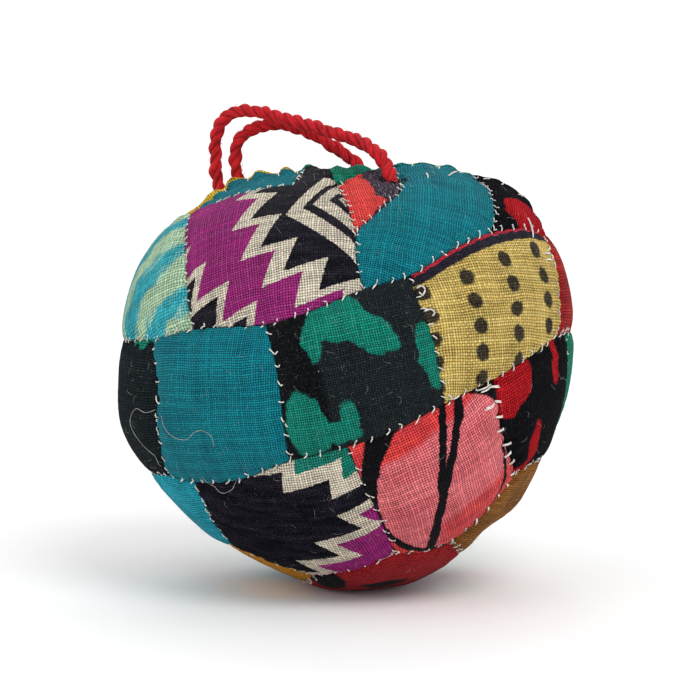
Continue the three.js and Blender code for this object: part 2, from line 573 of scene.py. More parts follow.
@dataclass(frozen=True)
class Notched:
    """Two colours that meet along a notched line, the darker one worn pale."""

    one: str = Dye.CORAL
    other: str = "352b3b"

    def colour(self, web: Web, place: Value) -> Value:
        """The cloth's colour at a place.

        Args:
            web: The finish that the cloth gets.
            place: Where on the cloth.

        Returns:
            The colour.
        """
        swayed = web.moved(place, web.cloudy(place, 0.5, 2, colour=True), 1.4)
        x, y = web.split(swayed)
        tongue = (1 - ((y + 8.4) / 2.2).shape("ABSOLUTE")).most(0.0) * 3.4
        side = (x + 0.6 - tongue).step(-0.15, 0.2)
        under = (web.along(swayed, -38) - 6.0).step(-0.2, 0.3)
        scribble = web.cloudy(web.scaled(place, 2.6, 0.6), 1.0, 3).step(0.54, 0.62)
        dark = web.mix(scribble * 0.5, dye(self.other), dye("9d8f9b"))
        return web.mix(side.most(under), dye(self.one), dark)


@dataclass(frozen=True)
class OpenWeave:
    """A loose plain weave, its threads crossing over and under."""

    name: str
    dyeing: object  # how the cloth is dyed or printed
    pitch: float = 0.54  # from one thread to the next, in millimetres
    cover: float = 0.76  # how much of the pitch a thread fills
    depth: float = 0.14  # how far the threads stand out
    gap_shade: float = 0.04  # how light the painted shade leaves it between the threads
    lift: float = 1.35  # how light the threads are
    pale_fibre_and_highlight: float = 0.015  # how much pale fibre shows on the threads, on the darker cloths partly a painted highlight of the fibres
    loose: float = 0.35  # how much more open some places are than others
    heavy: float = 0.0  # how much thicker the crosswise threads are
    sheen: float = 0.04  # how much the fibres catch the light

    def threads(self, web: Web, place: Value) -> tuple[Value, Value]:
        """The weave at a place.

        Args:
            web: The finish.
            place: Where, in millimetres.

        Returns:
            The threads' height, from nothing in a gap to one, and their tone.
        """
        strayed = web.moved(place, web.cloudy(place, 0.1, 1, colour=True), 1.6)
        strayed = web.moved(strayed, web.cloudy(place, 0.75, 1, colour=True), 0.12)
        x, y = (part / self.pitch for part in web.split(strayed))
        column, row = x.shape("FLOOR"), y.shape("FLOOR")
        u, v = x - column - 0.5, y - row - 0.5
        loose = (web.cloudy(place, 0.14, 2) - 0.5) * self.loose + self.cover
        tones = (web.chance(column), web.chance(row + 57.0))
        slubs = (web.cloudy(web.joined(column * 3.1, y * 0.3), 1.0, 1),
                 web.cloudy(web.joined(x * 0.3, row * 3.1, 8.0), 1.0, 1))
        parity = (column + row).odd() * 2 - 1
        heights = []
        for off, run, tone, slub, sign in zip((u, v), (v, u), tones, slubs, (1, -1)):
            width = loose * ((slub - 0.5) * 0.6 + tone * 0.2 + 0.88 - sign * self.heavy)
            section = (1 - (off * 2 / width) ** 2).most(0.0) ** 0.5
            crossing = (run * pi).shape("COSINE") * parity * (0.42 * sign) + 0.58
            heights.append(section * crossing)
        warp = heights[0].over(heights[1])
        tone = web.math("MULTIPLY_ADD", warp, tones[0] - tones[1], tones[1])
        slub = web.math("MULTIPLY_ADD", warp, slubs[0] - slubs[1], slubs[1])
        return heights[0].most(heights[1]), tone * 0.6 + slub * 0.7

    def build(self) -> Finish:
        """Makes the finish.

        Returns:
            The finish.
        """
        web = Web(self.name, "Cloth")
        place = web.place()
        height, tone = self.threads(web, place)
        bled = web.moved(place, web.cloudy(place, 2.0, 2, colour=True), 0.7)
        colour = self.dyeing.colour(web, bled)
        # Pale flecks: real pale fibre, and on the darker cloths also a painted highlight where the
        # fibres catch the light.
        hair = web.cloudy(web.moved(place, web.cloudy(place, 1.1, 2, colour=True), 2.2), 4.5, 2)
        colour = web.mix(hair.step(0.6, 0.75) * (self.pale_fibre_and_highlight * 4), colour, dye("d9d4cc"))
        # Painted shade: the gaps between the threads, and each thread where it dips under the one
        # crossing it, are darkened in the colour.
        shade = height * (1 - self.gap_shade) + self.gap_shade
        colour = web.dimmed(colour, shade * (tone * 0.62 + 0.6) * self.lift)
        return web.surfaced(colour, 0.97 - height * 0.12, height + hair * 0.25, self.depth * MM,
                            0.02, self.sheen)


@dataclass(frozen=True)
class SpunThread:
    """Soft spun thread or fibre of one colour."""

    name: str
    light: str
    dark: str

    def build(self) -> Finish:
        """Makes the finish.

        Returns:
            The finish.
        """
        web = Web(self.name, "Thread")
        place = web.solid_place()
        uneven = web.cloudy(place, 900.0, 3)
        colour = web.mix(uneven.step(0.35, 0.65), dye(self.dark), dye(self.light))
        return web.surfaced(colour, uneven * 0.1 + 0.85, web.cloudy(place, 5200.0, 2), 0.06 * MM,
                            0.15, 0.06, strength=0.7)


@dataclass(frozen=True)
class CordYarn:
    """Soft red yarn whose fibres wind round it, with painted shade in the crevices between its
    plies.
    """

    name: str = "red_cord_yarn"
    light: str = "d8242d"
    dark: str = "7e0e15"

    def build(self) -> Finish:
        """Makes the finish.

        Returns:
            The finish.
        """
        web = Web(self.name, "Thread")
        place = web.place()
        x, y = web.split(place)
        wound = web.joined(x + y * 0.55, y * 0.16)
        strands = web.cloudy(web.moved(wound, web.cloudy(place, 0.9, 2, colour=True), 0.5), 3.0, 3)
        fine = web.cloudy(wound, 11.0, 2)
        cloud = web.cloudy(web.solid_place(), 420.0, 2)
        share = (strands * 0.6 + fine * 0.25 + cloud * 0.3).step(0.36, 0.74)
        colour = web.mix(share, dye(self.dark), dye(self.light))
        # Painted shade: the yarn is darker where it lies nearer the cord's middle, in the crevices
        # between the plies.
        crevice_shade = web.split(web.place("Depth"))[0].step(0.75, 1.2)
        colour = web.dimmed(colour, crevice_shade * 0.5 + 0.55)
        return web.surfaced(colour, 0.96 - share * 0.1, strands * 0.8 + fine * 0.35, 0.3 * MM,
                            0.12, 0.06)


# The zigzag cotton: rows of leaning teeth climb to a nest of chevrons.
ZIGZAG_PRINT = Toothed(
    Dye.NAVY,
    (
        Teeth(-18.8, Dye.CREAM, 48, 8.3, 7.4, slant=0.15, start=4.35, bend=0.006, bend_at=13),
        Teeth(-15.0, Dye.MAGENTA, 48, 8.3, 7.4, slant=0.15, start=4.35, bend=0.006, bend_at=13),
        Teeth(-5.3, Dye.CREAM, 48, 8.3, 7.4, slant=0.15, start=-0.9, bend=0.022, bend_at=13),
        Teeth(0.0, Dye.NAVY, 48, 8.3, 7.4, slant=0.15, start=0.2, bend=0.022, bend_at=13),
    ),
    Nest(48, -22, (3.6, 2.74), 1.35, (
        (3.6, Dye.CREAM), (6.9, Dye.NAVY), (9.0, Dye.CREAM), (12.1, Dye.NAVY), (14.0, Dye.CREAM),
        (15.5, Dye.NAVY))),
)

# Another cut of it, nearly all navy, with teeth in two corners.
NAVY_PRINT = Toothed(
    Dye.NAVY,
    (
        Teeth(16.6, Dye.CREAM, 73, 10.0, 4.6, rise=0.06, start=0.0),
        Teeth(21.3, Dye.GREEN, 73, 10.0, 4.6, rise=0.06, start=2.2),
        Teeth(12.2, Dye.CREAM, -46.7, 9.6, 6.2, rise=0.94, start=-11.9),
        Teeth(16.2, Dye.MAGENTA, -46.7, 9.6, 6.2, rise=0.94, start=-14.1),
        Teeth(27.0, Dye.CREAM, -46.7, 9.6, 6.2, rise=0.94, start=-11.9),
    ),
)

class Cloth(Enum):
    """The printed and plain cottons that the scraps are cut from."""

    AQUA = OpenWeave("aqua_marbled_cotton", Marbled(), pitch=0.66, loose=0.6, gap_shade=0.16)
    TEAL = OpenWeave("teal_cotton", Plain(Dye.TEAL, "0f6c7c", 0.5), pitch=0.48)
    ZIGZAG = OpenWeave("zigzag_cotton", ZIGZAG_PRINT, pale_fibre_and_highlight=0.045)
    NAVY = OpenWeave("navy_zigzag_cotton", NAVY_PRINT, sheen=0.0, pale_fibre_and_highlight=0.035)
    CORAL = OpenWeave("coral_and_navy_cotton", Notched(), pitch=0.48)
    BLACK_RED = OpenWeave("black_and_red_cotton", Blotched(Dye.BLACK, Dye.RED, (
        (-12.0, 11.6, 8.0, 5.8, 28.0), (-5.0, -5.0, 1.9, 5.8, -4.0), (-8.0, -10.6, 3.8, 1.9, 20.0),
        (3.6, 7.6, 1.3, 2.6, 0.0), (6.2, 13.0, 1.3, 5.2, -16.0)), 1.6), sheen=0.0)
    RED_BLACK = OpenWeave("red_and_black_cotton", Blotched(Dye.RED, Dye.BLACK, (
        (-15.0, 4.0, 7.0, 4.6, 28.0), (-1.0, 7.6, 5.2, 2.6, 12.0), (12.0, 2.0, 3.0, 5.0, 0.0)),
        2.0))
    DOTS = OpenWeave("dotted_cotton", Dotted(),
                     pitch=0.57, heavy=0.17, gap_shade=0.12, cover=0.7, loose=0.8, pale_fibre_and_highlight=0.03)
    RED = OpenWeave("red_cotton", Plain("b3261f", "8a1218"))
    DARK_GREEN = OpenWeave("dark_green_cotton", Blotched(Dye.BLACK_GREEN, "178066", (
        (3.0, 17.2, 12.0, 2.8, 0.0),), 2.4), sheen=0.0, pale_fibre_and_highlight=0.045)
    BLOTCH = OpenWeave("blotched_green_cotton", Blotched(Dye.BLACK_GREEN, Dye.GREEN, (
        (-2.2, 10.0, 6.2, 4.6, 0.0), (4.0, 6.4, 6.2, 3.7, -42.0), (-7.4, 7.0, 1.7, 4.6, 0.0),
        (-12.0, -10.0, 4.2, 7.4, 4.0), (-6.0, -12.2, 5.0, 2.0, -8.0), (-3.2, -10.0, 1.5, 4.2, 0.0),
        (15.6, -0.6, 2.9, 6.6, 6.0)), 1.7, shade="0c0e12"), pitch=0.5, pale_fibre_and_highlight=0.05)
    GREEN = OpenWeave("green_cotton", Plain(Dye.GREEN, "0f7a5c"))
    TURQUOISE = OpenWeave("turquoise_cotton", Plain("22a3b6", "148a9c"))
    PINK = OpenWeave("pink_lined_cotton", Petals())
    BROWN = OpenWeave("brown_cotton", Plain("9c6526", "74481a"))
    YELLOW = OpenWeave("yellow_cotton", Plain("dcb632", "b99424"))
    ORANGE = OpenWeave("orange_cotton", Plain("dc9a20", "b8771a"))


@dataclass
class Wardrobe:
    """The finishes of the whole ball, each made when it is first wanted."""

    made: dict = field(default_factory=dict)

    def made_of(self, finish: OpenWeave | SpunThread | CordYarn) -> Finish:
        """A finish, made once."""
        self.made[finish] = self.made.get(finish) or finish.build()
        return self.made[finish]


def dress(piece: Piece, finish: Finish) -> None:
    """Gives a piece its one finish."""
    piece.data.materials.clear()
    piece.data.materials.append(finish)


# ---- The ways of sewing ----


@dataclass(frozen=True)
class Stitching:
    """One way of sewing two edges together, in millimetres."""

    every: float  # from one stitch to the next along the seam
    reach: float  # how wide a stitch is across the seam
    slant: float  # how far a stitch runs along the seam
    thread: float = 0.36  # the thread's thickness
    groove: float = 0.5  # how deep the cloth turns in at the seam
    dimple: float = 0.3  # how much deeper each stitch pulls it
    gather: float = 0.12  # how far the cloth stands up between two stitches
    tail: float = 0.0  # how far the short tail beside each stitch reaches, or nothing
    strands: int = 1  # how many threads lie side by side in a stitch


class Sewing(Enum):
    """The kinds of seam on the ball."""

    WHIP = Stitching(3.5, 0.9, 1.2, thread=0.27, tail=0.7)
    CLOSE = Stitching(2.5, 0.75, 1.0, thread=0.24, groove=0.45, gather=0.09, tail=0.5)
    LONG = Stitching(3.3, 2.2, 0.8, thread=0.27, dimple=0.4, gather=0.16, strands=2)
    CREST = Stitching(5.2, 1.9, 0.9, thread=0.27, groove=0.1, dimple=1.0, gather=0.8)
    EASED = Stitching(4.4, 1.9, 0.9, thread=0.26, groove=0.2, dimple=0.6, gather=0.5)
    LAID_ON = Stitching(2.9, 1.1, 1.0, thread=0.27, groove=0.3, dimple=0.35, gather=0.2)


def written_out(corners: str) -> list[str]:
    """Names corners one by one.

    Args:
        corners: Their names in order, with a run such as belt3-6 for belt3 up to belt6.

    Returns:
        Every name.
    """
    names = []
    for part in corners.split():
        first, _, last = part.partition("-")
        stem = first.rstrip("0123456789")
        if last:
            start, end = int(first[len(stem):]), int(last)
            way = 1 if end > start else -1
            names += [f"{stem}{k}" for k in range(start, end + way, way)]
        else:
            names.append(part)
    return names


@dataclass(frozen=True)
class Seam:
    """A run of sewing through the named corners."""

    sewing: Sewing
    corners: str


@dataclass(frozen=True)
class Scrap:
    """A four-sided piece of cloth between seams, its sides named by their corners."""

    name: str
    cloth: Cloth
    top: str  # its top side, from left to right as seen from outside
    right: str  # its right side, downwards
    bottom: str  # its bottom side, from left to right
    left: str  # its left side, downwards
    puff: float = 0.6  # how far its middle stands out, in millimetres
    lift: float = 0.0  # how far it lies over its neighbours' edges, in millimetres
    grain: float = 0.0  # how far its threads are turned from its sides, in degrees
    shift: Pair = (0.0, 0.0)  # where the print starts on it, in millimetres


# Corners on the ridge's crest: degrees clockwise from the top, as seen from the front.
CREST_PLACES = (-47, -27.5, -20, -13.5, -11.5, -5, 7.5, 13, 22, 32.5, 39, 46, 55)

# The other corners: degrees to the right of the front, and above level, from the ball's middle.
# They are numbered from one where there are several.
CORNERS = {
    "tuck": ((-83.5, 47.5), (-93.5, 53)),
    "strip": ((-70, 56.5), (-57.5, 64.5), (-46, 71)),
    "belt": ((-98, 8), (-62, 13), (-45.5, 17.5), (-22, 20.5), (-12, 23.5), (5, 30), (20, 33.5),
        (36.5, 39.5), (57, 42)),
    "dots_r": ((82, 31), (75.5, 21.5)),
    "dots_l": ((20.5, 29), (22, 23), (24, 15)),
    "waist": ((-98, -26), (-63.5, -24.5), (-51.5, -25), (-33, -22.5), (-15, -15), (0.5, -10.5),
        (12.5, -6.5), (26, 0), (41, 5), (80, 12), (114, 10)),
    "navy_r": ((5.5, -22.5), (9, -29)),
    "pink_r": ((44, -6), (49, -14.5)),
    "navy_l": ((-53, -32.5), (-59.5, -46.5)),
    "hem": ((-104, -57), (-64.5, -53.5), (-38, -59.5), (-18, -61), (-3, -57), (19.5, -47),
        (31, -47), (42, -45.5), (66, -54), (97, -56), (126, -58), (160, -57), (-166, -59),
        (-135, -57)),
    "seat": ((87, -22), (117, -25), (152, -27), (-172, -23), (-135, -27)),
    "nape": ((110, 35), (143, 45), (176, 47), (-153, 45), (-121, 40)),
    "back": ((151, 13), (-171, 15), (-134, 11)),
    "foot": ((80, -79), (-100, -79)),
    "dip": ((-7.5, 72.5),), "aqua_mid": ((-57, 33),), "coral_foot": ((3.5, 47.5),),
    "coral_hip": ((34.5, 64),), "zigzag_mid": ((3.5, 38),), "shoulder_mid": ((80.5, 52.5),),
    "peak": ((87, 36),), "dots_foot": ((71.5, 12.5),), "dark_mid": ((-57, -1),),
    "teal_mid": ((-18, 9),), "pink_low": ((53.5, -32.5),), "pink_foot": ((56.5, -23),),
    "brown_mid": ((65.5, -21.5),),
}

SEAMS = (
    Seam(Sewing.CREST, "crest1 tuck1-2 crest2-6 dip crest7"),
    Seam(Sewing.EASED, "crest7-10"),
    Seam(Sewing.WHIP, "crest10-13 peak"),
    Seam(Sewing.CLOSE, "tuck1 strip1-3 crest5"),
    Seam(Sewing.CLOSE, "tuck1 aqua_mid belt3"),
    Seam(Sewing.CLOSE, "dip coral_foot zigzag_mid belt6"),
    Seam(Sewing.CLOSE, "coral_foot coral_hip crest8"),
    Seam(Sewing.CLOSE, "crest10 shoulder_mid belt9"),
    Seam(Sewing.WHIP, "belt1-9 peak"),
    Seam(Sewing.LAID_ON, "belt7 dots_l1-3 waist8"),
    Seam(Sewing.LAID_ON, "peak dots_r1-2 dots_foot"),
    Seam(Sewing.WHIP, "waist1-9 dots_foot waist10-11 back1-3 belt1"),
    Seam(Sewing.WHIP, "belt2 dark_mid waist2"),
    Seam(Sewing.WHIP, "belt4 teal_mid waist5"),
    Seam(Sewing.WHIP, "waist3 navy_l1-2 hem2"),
    Seam(Sewing.WHIP, "waist6 navy_r1-2 hem6"),
    Seam(Sewing.LONG, "waist9 pink_r1-2 pink_foot pink_low hem8"),
    Seam(Sewing.WHIP, "pink_foot brown_mid seat1-5 waist1"),
    Seam(Sewing.WHIP, "hem1-14 hem1"),
    Seam(Sewing.WHIP, "crest13 nape1 waist11 seat2 hem11 foot1"),
    Seam(Sewing.CLOSE, "waist10 seat1 hem10"),
    Seam(Sewing.WHIP, "crest10 nape2 back1 seat3 hem12"),
    Seam(Sewing.WHIP, "crest8 nape3 back2 seat4 hem13"),
    Seam(Sewing.WHIP, "crest4 nape4 back3 seat5 hem14"),
    Seam(Sewing.WHIP, "crest1 nape5 belt1 waist1 hem1 foot2"),
    Seam(Sewing.WHIP, "nape1-5"),
    Seam(Sewing.WHIP, "hem4 foot2-1 hem9"),
)

SCRAPS = (
    Scrap("aqua_side", Cloth.AQUA, "nape5 crest1 tuck1", "tuck1 aqua_mid belt3", "belt1-3",
          "nape5 belt1"),
    Scrap("teal_strip", Cloth.TEAL, "tuck1-2 crest2-4", "crest4-5", "tuck1 strip1-3 crest5",
          "tuck1", puff=0.25),
    Scrap("zigzag_top", Cloth.ZIGZAG, "tuck1 strip1-3 crest5-6 dip",
          "dip coral_foot zigzag_mid belt6", "belt3-6", "tuck1 aqua_mid belt3"),
    Scrap("coral_gore", Cloth.CORAL, "dip crest7-8", "crest8 coral_hip", "coral_foot coral_hip",
          "dip coral_foot", puff=0.3),
    Scrap("teal_top", Cloth.TEAL, "crest8-10", "crest10 shoulder_mid belt9", "belt6-9",
          "crest8 coral_hip coral_foot zigzag_mid belt6", shift=(40, 17)),
    Scrap("shoulder", Cloth.BLACK_RED, "crest10-13", "crest13 peak", "belt9 peak",
          "crest10 shoulder_mid belt9", puff=0.4, shift=(-14.5, 13.5)),
    Scrap("dotted_side", Cloth.DOTS, "belt7-9 peak", "peak dots_r1-2 dots_foot",
          "waist8-9 dots_foot", "belt7 dots_l1-3 waist8", lift=0.35),
    Scrap("red_side", Cloth.RED, "peak crest13 nape1", "nape1 waist11", "dots_foot waist10-11",
          "peak dots_r1-2 dots_foot"),
    Scrap("dark_side", Cloth.DARK_GREEN, "belt1-2", "belt2 dark_mid waist2", "waist1-2",
          "belt1 waist1"),
    Scrap("teal_left", Cloth.TEAL, "belt2-4", "belt4 teal_mid waist5", "waist2-5",
          "belt2 dark_mid waist2"),
    Scrap("green_middle", Cloth.BLOTCH, "belt4-7", "belt7 dots_l1-3 waist8", "waist5-8",
          "belt4 teal_mid waist5"),
    Scrap("turquoise_low", Cloth.TURQUOISE, "waist1-3", "waist3 navy_l1-2 hem2", "hem1-2",
          "waist1 hem1"),
    Scrap("zigzag_low", Cloth.NAVY, "waist3-6", "waist6 navy_r1-2 hem6", "hem2-6",
          "waist3 navy_l1-2 hem2"),
    Scrap("pink_low", Cloth.PINK, "waist6-9", "waist9 pink_r1-2 pink_foot",
          "hem6-8 pink_low pink_foot", "waist6 navy_r1-2 hem6"),
    Scrap("black_red_side", Cloth.BLACK_RED, "waist9 dots_foot waist10", "waist10 seat1",
          "pink_foot brown_mid seat1", "waist9 pink_r1-2 pink_foot"),
    Scrap("brown_low", Cloth.BROWN, "pink_foot brown_mid seat1", "seat1 hem10", "hem8-10",
          "pink_foot pink_low hem8", puff=-0.6),
    Scrap("red_under", Cloth.RED_BLACK, "hem4-9", "hem9 foot1", "foot2-1", "hem4 foot2", puff=0.1),
    Scrap("orange_under", Cloth.ORANGE, "hem1-4", "hem4 foot2", "foot2", "hem1 foot2", puff=0.4),
    Scrap("navy_under", Cloth.NAVY, "hem9-11", "hem11 foot1", "foot1", "hem9 foot1", puff=0.4,
          shift=(30, 8)),
    Scrap("teal_under", Cloth.TEAL, "hem11-14 hem1", "hem1 foot2", "foot1-2", "hem11 foot1",
          shift=(11, 60)),
    Scrap("green_side", Cloth.GREEN, "waist10-11", "waist11 seat2", "seat1-2", "waist10 seat1"),
    Scrap("shoulder_back", Cloth.BLACK_RED, "crest13-10", "crest10 nape2", "nape1-2",
          "crest13 nape1", shift=(9, 12)),
    Scrap("navy_back", Cloth.NAVY, "crest10-8", "crest8 nape3", "nape2-3", "crest10 nape2",
          shift=(4, 13)),
    Scrap("green_back", Cloth.GREEN, "crest8-7 dip crest6-4", "crest4 nape4", "nape3-4",
          "crest8 nape3", puff=0.4, shift=(21, 3)),
    Scrap("yellow_back", Cloth.YELLOW, "crest4-2 tuck2-1 crest1", "crest1 nape5", "nape4-5",
          "crest4 nape4", puff=-0.3),
    Scrap("teal_back", Cloth.TEAL, "nape1-2", "nape2 back1", "waist11 back1", "nape1 waist11",
          shift=(5, 31)),
    Scrap("pink_back", Cloth.PINK, "nape2-3", "nape3 back2", "back1-2", "nape2 back1",
          shift=(3, -4)),
    Scrap("dotted_back", Cloth.DOTS, "nape3-4", "nape4 back3", "back2-3", "nape3 back2",
          shift=(2, 3)),
    Scrap("dark_back", Cloth.DARK_GREEN, "nape4-5", "nape5 belt1", "back3 belt1", "nape4 back3",
          shift=(15, 6)),
    Scrap("zigzag_back", Cloth.ZIGZAG, "waist11 back1", "back1 seat3", "seat2-3", "waist11 seat2",
          shift=(-3, 5)),
    Scrap("blotched_back", Cloth.BLOTCH, "back1-2", "back2 seat4", "seat3-4", "back1 seat3",
          grain=90, shift=(2, -1)),
    Scrap("aqua_back", Cloth.AQUA, "back2-3", "back3 seat5", "seat4-5", "back2 seat4",
          shift=(25, 14)),
    Scrap("coral_back", Cloth.CORAL, "back3 belt1", "belt1 waist1", "seat5 waist1", "back3 seat5",
          shift=(4, -3)),
    Scrap("red_low", Cloth.RED, "seat1-2", "seat2 hem11", "hem10-11", "seat1 hem10",
          shift=(17, 9)),
    Scrap("aqua_low", Cloth.AQUA, "seat2-3", "seat3 hem12", "hem11-12", "seat2 hem11",
          shift=(41, 33)),
    Scrap("brown_back", Cloth.BROWN, "seat3-4", "seat4 hem13", "hem12-13", "seat3 hem12",
          shift=(13, 27)),
    Scrap("teal_low", Cloth.TEAL, "seat4-5", "seat5 hem14", "hem13-14", "seat4 hem13",
          shift=(71, 2)),
    Scrap("black_red_low", Cloth.BLACK_RED, "seat5 waist1", "waist1 hem1", "hem14 hem1",
          "seat5 hem14", shift=(-6, -3)),
)

# The cords' middle lines, in millimetres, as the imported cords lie.
FRONT_ROUTE = (
    (-24.0, 21.2, 73.9), (-25.7, 21.6, 77.3), (-26.6, 21.4, 81.0), (-26.8, 21.1, 85.1),
    (-26.5, 20.5, 89.0), (-25.4, 19.5, 92.2), (-23.2, 18.2, 94.2), (-19.9, 16.2, 94.7),
    (-16.2, 14.0, 94.3), (-12.6, 11.6, 93.5), (-8.7, 9.1, 92.7), (-5.3, 6.6, 92.0),
    (-1.9, 4.0, 91.2), (1.5, 1.3, 90.3), (4.4, -1.3, 89.1), (6.8, -4.0, 87.4), (8.3, -6.1, 85.3),
    (8.9, -7.9, 83.8),
)

BACK_ROUTE = (
    (-20.2, 20.8, 76.2), (-21.8, 21.0, 79.4), (-22.5, 21.0, 82.6), (-22.6, 20.8, 85.8),
    (-21.8, 20.2, 88.5), (-20.0, 19.3, 90.3), (-17.7, 18.2, 91.4), (-15.1, 17.2, 91.8),
    (-11.8, 16.2, 91.7), (-8.6, 15.1, 90.9), (-5.6, 14.1, 89.5), (-2.9, 13.3, 87.9),
    (-0.5, 12.7, 86.4), (1.7, 12.2, 84.6), (3.3, 11.7, 81.8),
)


# ---- Directions, lines and forms ----


def direction(turn: float, rise: float) -> Array:
    """The unit direction turn degrees right of the front and rise degrees above level."""
    turn, rise = radians(turn), radians(rise)
    return np.array([cos(rise) * sin(turn), -cos(rise) * cos(turn), sin(rise)])


def crest_direction(place: float) -> Array:
    """The unit direction of a place on the ridge's crest, in degrees clockwise from the top."""
    place, lean = radians(place), radians(RIDGE_LEAN_DEG)
    return np.array([sin(place), cos(place) * sin(lean), cos(place) * cos(lean)])


def unit(vectors: Array) -> Array:
    """The same vectors at length one."""
    return vectors / np.maximum(np.linalg.norm(vectors, axis=-1, keepdims=True), 1e-12)


def smooth_line(points: Array, step: float, closed: bool = False) -> list[Array]:
    """Draws a smooth line through points that may lie unevenly.

    Args:
        points: The points, one a row.
        step: The distance between two samples.
        closed: Whether the last point meets the first.

    Returns:
        The samples of each span, both ends included.
    """
    first = points[-2] if closed else 2 * points[0] - points[1]
    last = points[1] if closed else 2 * points[-1] - points[-2]
    p = np.vstack([first, points, last])
    spans = []
    for before, start, end, after in zip(p, p[1:], p[2:], p[3:]):
        a, b, c = (
            sqrt(np.linalg.norm(v)) + 1e-9 for v in (start - before, end - start, after - end)
        )
        leave = end - start + b * ((start - before) / a - (end - before) / (a + b))
        arrive = end - start + b * ((after - end) / c - (after - start) / (b + c))
        count = max(2, round(np.linalg.norm(end - start) / step))
        t = np.linspace(0, 1, count + 1)[:, None]
        spans.append(
            (2 * t**3 - 3 * t**2 + 1) * start
            + (t**3 - 2 * t**2 + t) * leave
            + (3 * t**2 - 2 * t**3) * end
            + (t**3 - t**2) * arrive
        )
    return spans


def one_line(spans: list[Array]) -> Array:
    """Joins spans that each start where the one before ends."""
    return np.vstack([spans[0], *(span[1:] for span in spans[1:])])


def lengths_along(points: Array) -> Array:
    """How far along a line each of its points lies."""
    return np.concatenate([[0.0], np.cumsum(np.linalg.norm(np.diff(points, axis=0), axis=1))])


def sampled(points: Array, along: Array, at: float | Array) -> Array:
    """The places at some distances along a line, one a row."""
    return np.column_stack([np.interp(at, along, points[:, k]) for k in range(3)])


@dataclass
class SewnLine:
    """A seam's line on the ball, with where its stitches pull it."""

    seam: Seam
    points: Array  # unit directions along it
    tangents: Array
    along: Array  # how far along it each lies, in millimetres
    stitches: Array  # how far along it each stitch lies

    def phase(self, along: Array) -> Array:
        """Counts stitches along the seam: a whole number at each one."""
        return np.interp(along, self.stitches, np.arange(len(self.stitches), dtype=float))

    def at(self, along: float) -> tuple[Array, Array]:
        """The direction and the tangent at a distance along the seam.

        Args:
            along: The distance.

        Returns:
            The two unit vectors.
        """
        point = unit(sampled(self.points, self.along, along)[0])
        tangent = sampled(self.tangents, self.along, along)[0]
        return point, unit(tangent - point * (tangent @ point))


@dataclass
class Edge:
    """The samples of one scrap's edge: directions, tangents, stitch phases and sewing."""

    points: Array
    tangents: Array
    phases: Array
    sewing: list[Sewing]


@dataclass
class SeamNet:
    """All the seams of the cover, drawn once, so that neighbours share their edges."""

    step: float = 0.5  # how far apart a seam's points lie
    uneven: float = 0.14  # how far a stitch strays along the seam, as a share of their spacing
    seed: int = 7
    corners: dict = field(default_factory=dict)  # the direction of each corner
    lines: list[SewnLine] = field(default_factory=list)
    spans: dict = field(default_factory=dict)  # between two corners: the seam and its points

    def __post_init__(self) -> None:
        """Draws each seam through its corners and spaces its stitches."""
        for name, places in CORNERS.items():
            for k, place in enumerate(places, 1):
                number = k if len(places) > 1 else ""
                self.corners[f"{name}{number}"] = direction(*place)
        for k, place in enumerate(CREST_PLACES, 1):
            self.corners[f"crest{k}"] = crest_direction(place)
        chance = np.random.default_rng(self.seed)
        for seam in SEAMS:
            names = written_out(seam.corners)
            through = np.array([self.corners[name] for name in names])
            closed = names[0] == names[-1]
            runs = [unit(run) for run in smooth_line(through, self.step / REACH, closed)]
            points = one_line(runs)
            along = lengths_along(points) * REACH
            every = seam.sewing.value.every
            count = max(1, round(along[-1] / every))
            places = (np.arange(count) + 0.5) * along[-1] / count
            places = places + chance.uniform(-self.uneven, self.uneven, count) * every
            tangents = unit(np.gradient(points, axis=0))
            self.lines.append(SewnLine(seam, points, tangents, along, places))
            start = 0
            for pair, run in zip(zip(names, names[1:]), runs):
                self.spans[pair] = (len(self.lines) - 1, start, start + len(run))
                start += len(run) - 1

    def side(self, names: str) -> Edge:
        """The samples of one side of a scrap.

        Args:
            names: The side's corners in order.

        Returns:
            Its edge, in that order.
        """
        names = written_out(names)
        points, tangents, phases, sewing = [], [], [], []
        for pair in zip(names, names[1:]):
            forward = pair in self.spans
            index, start, end = self.spans[pair if forward else pair[::-1]]
            line, part = self.lines[index], slice(start, end)
            order = slice(None, None, 1 if forward else -1)
            points.append(line.points[part][order])
            tangents.append(line.tangents[part][order])
            phases.append(line.phase(line.along[part])[order])
            sewing += [line.seam.sewing] * (end - start)
        if not points:  # a side that is only a corner
            line = next(sewn for sewn in self.lines
                        if names[0] in written_out(sewn.seam.corners))
            corner = self.corners[names[0]][None]
            return Edge(corner, line.tangents[:1], np.full(1, 0.5), [line.seam.sewing])
        return Edge(np.vstack(points), np.vstack(tangents), np.concatenate(phases), sewing)


# ---- Working with meshes ----


def deselect() -> None:
    """Leaves edit mode with nothing selected, so that an operator acts on the new piece alone."""
    if bpy.context.object is not None and bpy.context.object.mode != "OBJECT":
        bpy.ops.object.mode_set(mode="OBJECT")
    bpy.ops.object.select_all(action="DESELECT")


def take(piece: Piece) -> None:
    """Selects one piece alone and makes it active.

    Args:
        piece: The piece.
    """
    deselect()
    piece.select_set(True)
    bpy.context.view_layer.objects.active = piece


@contextmanager
def editing(obj: Piece) -> Iterator[None]:
    """Opens one object in edit mode with all of it selected, and closes it again.

    Args:
        obj: The object.

    Returns:
        What a with statement wants.
    """
    take(obj)
    bpy.ops.object.mode_set(mode="EDIT")
    bpy.ops.mesh.select_all(action="SELECT")
    yield
    bpy.ops.object.mode_set(mode="OBJECT")


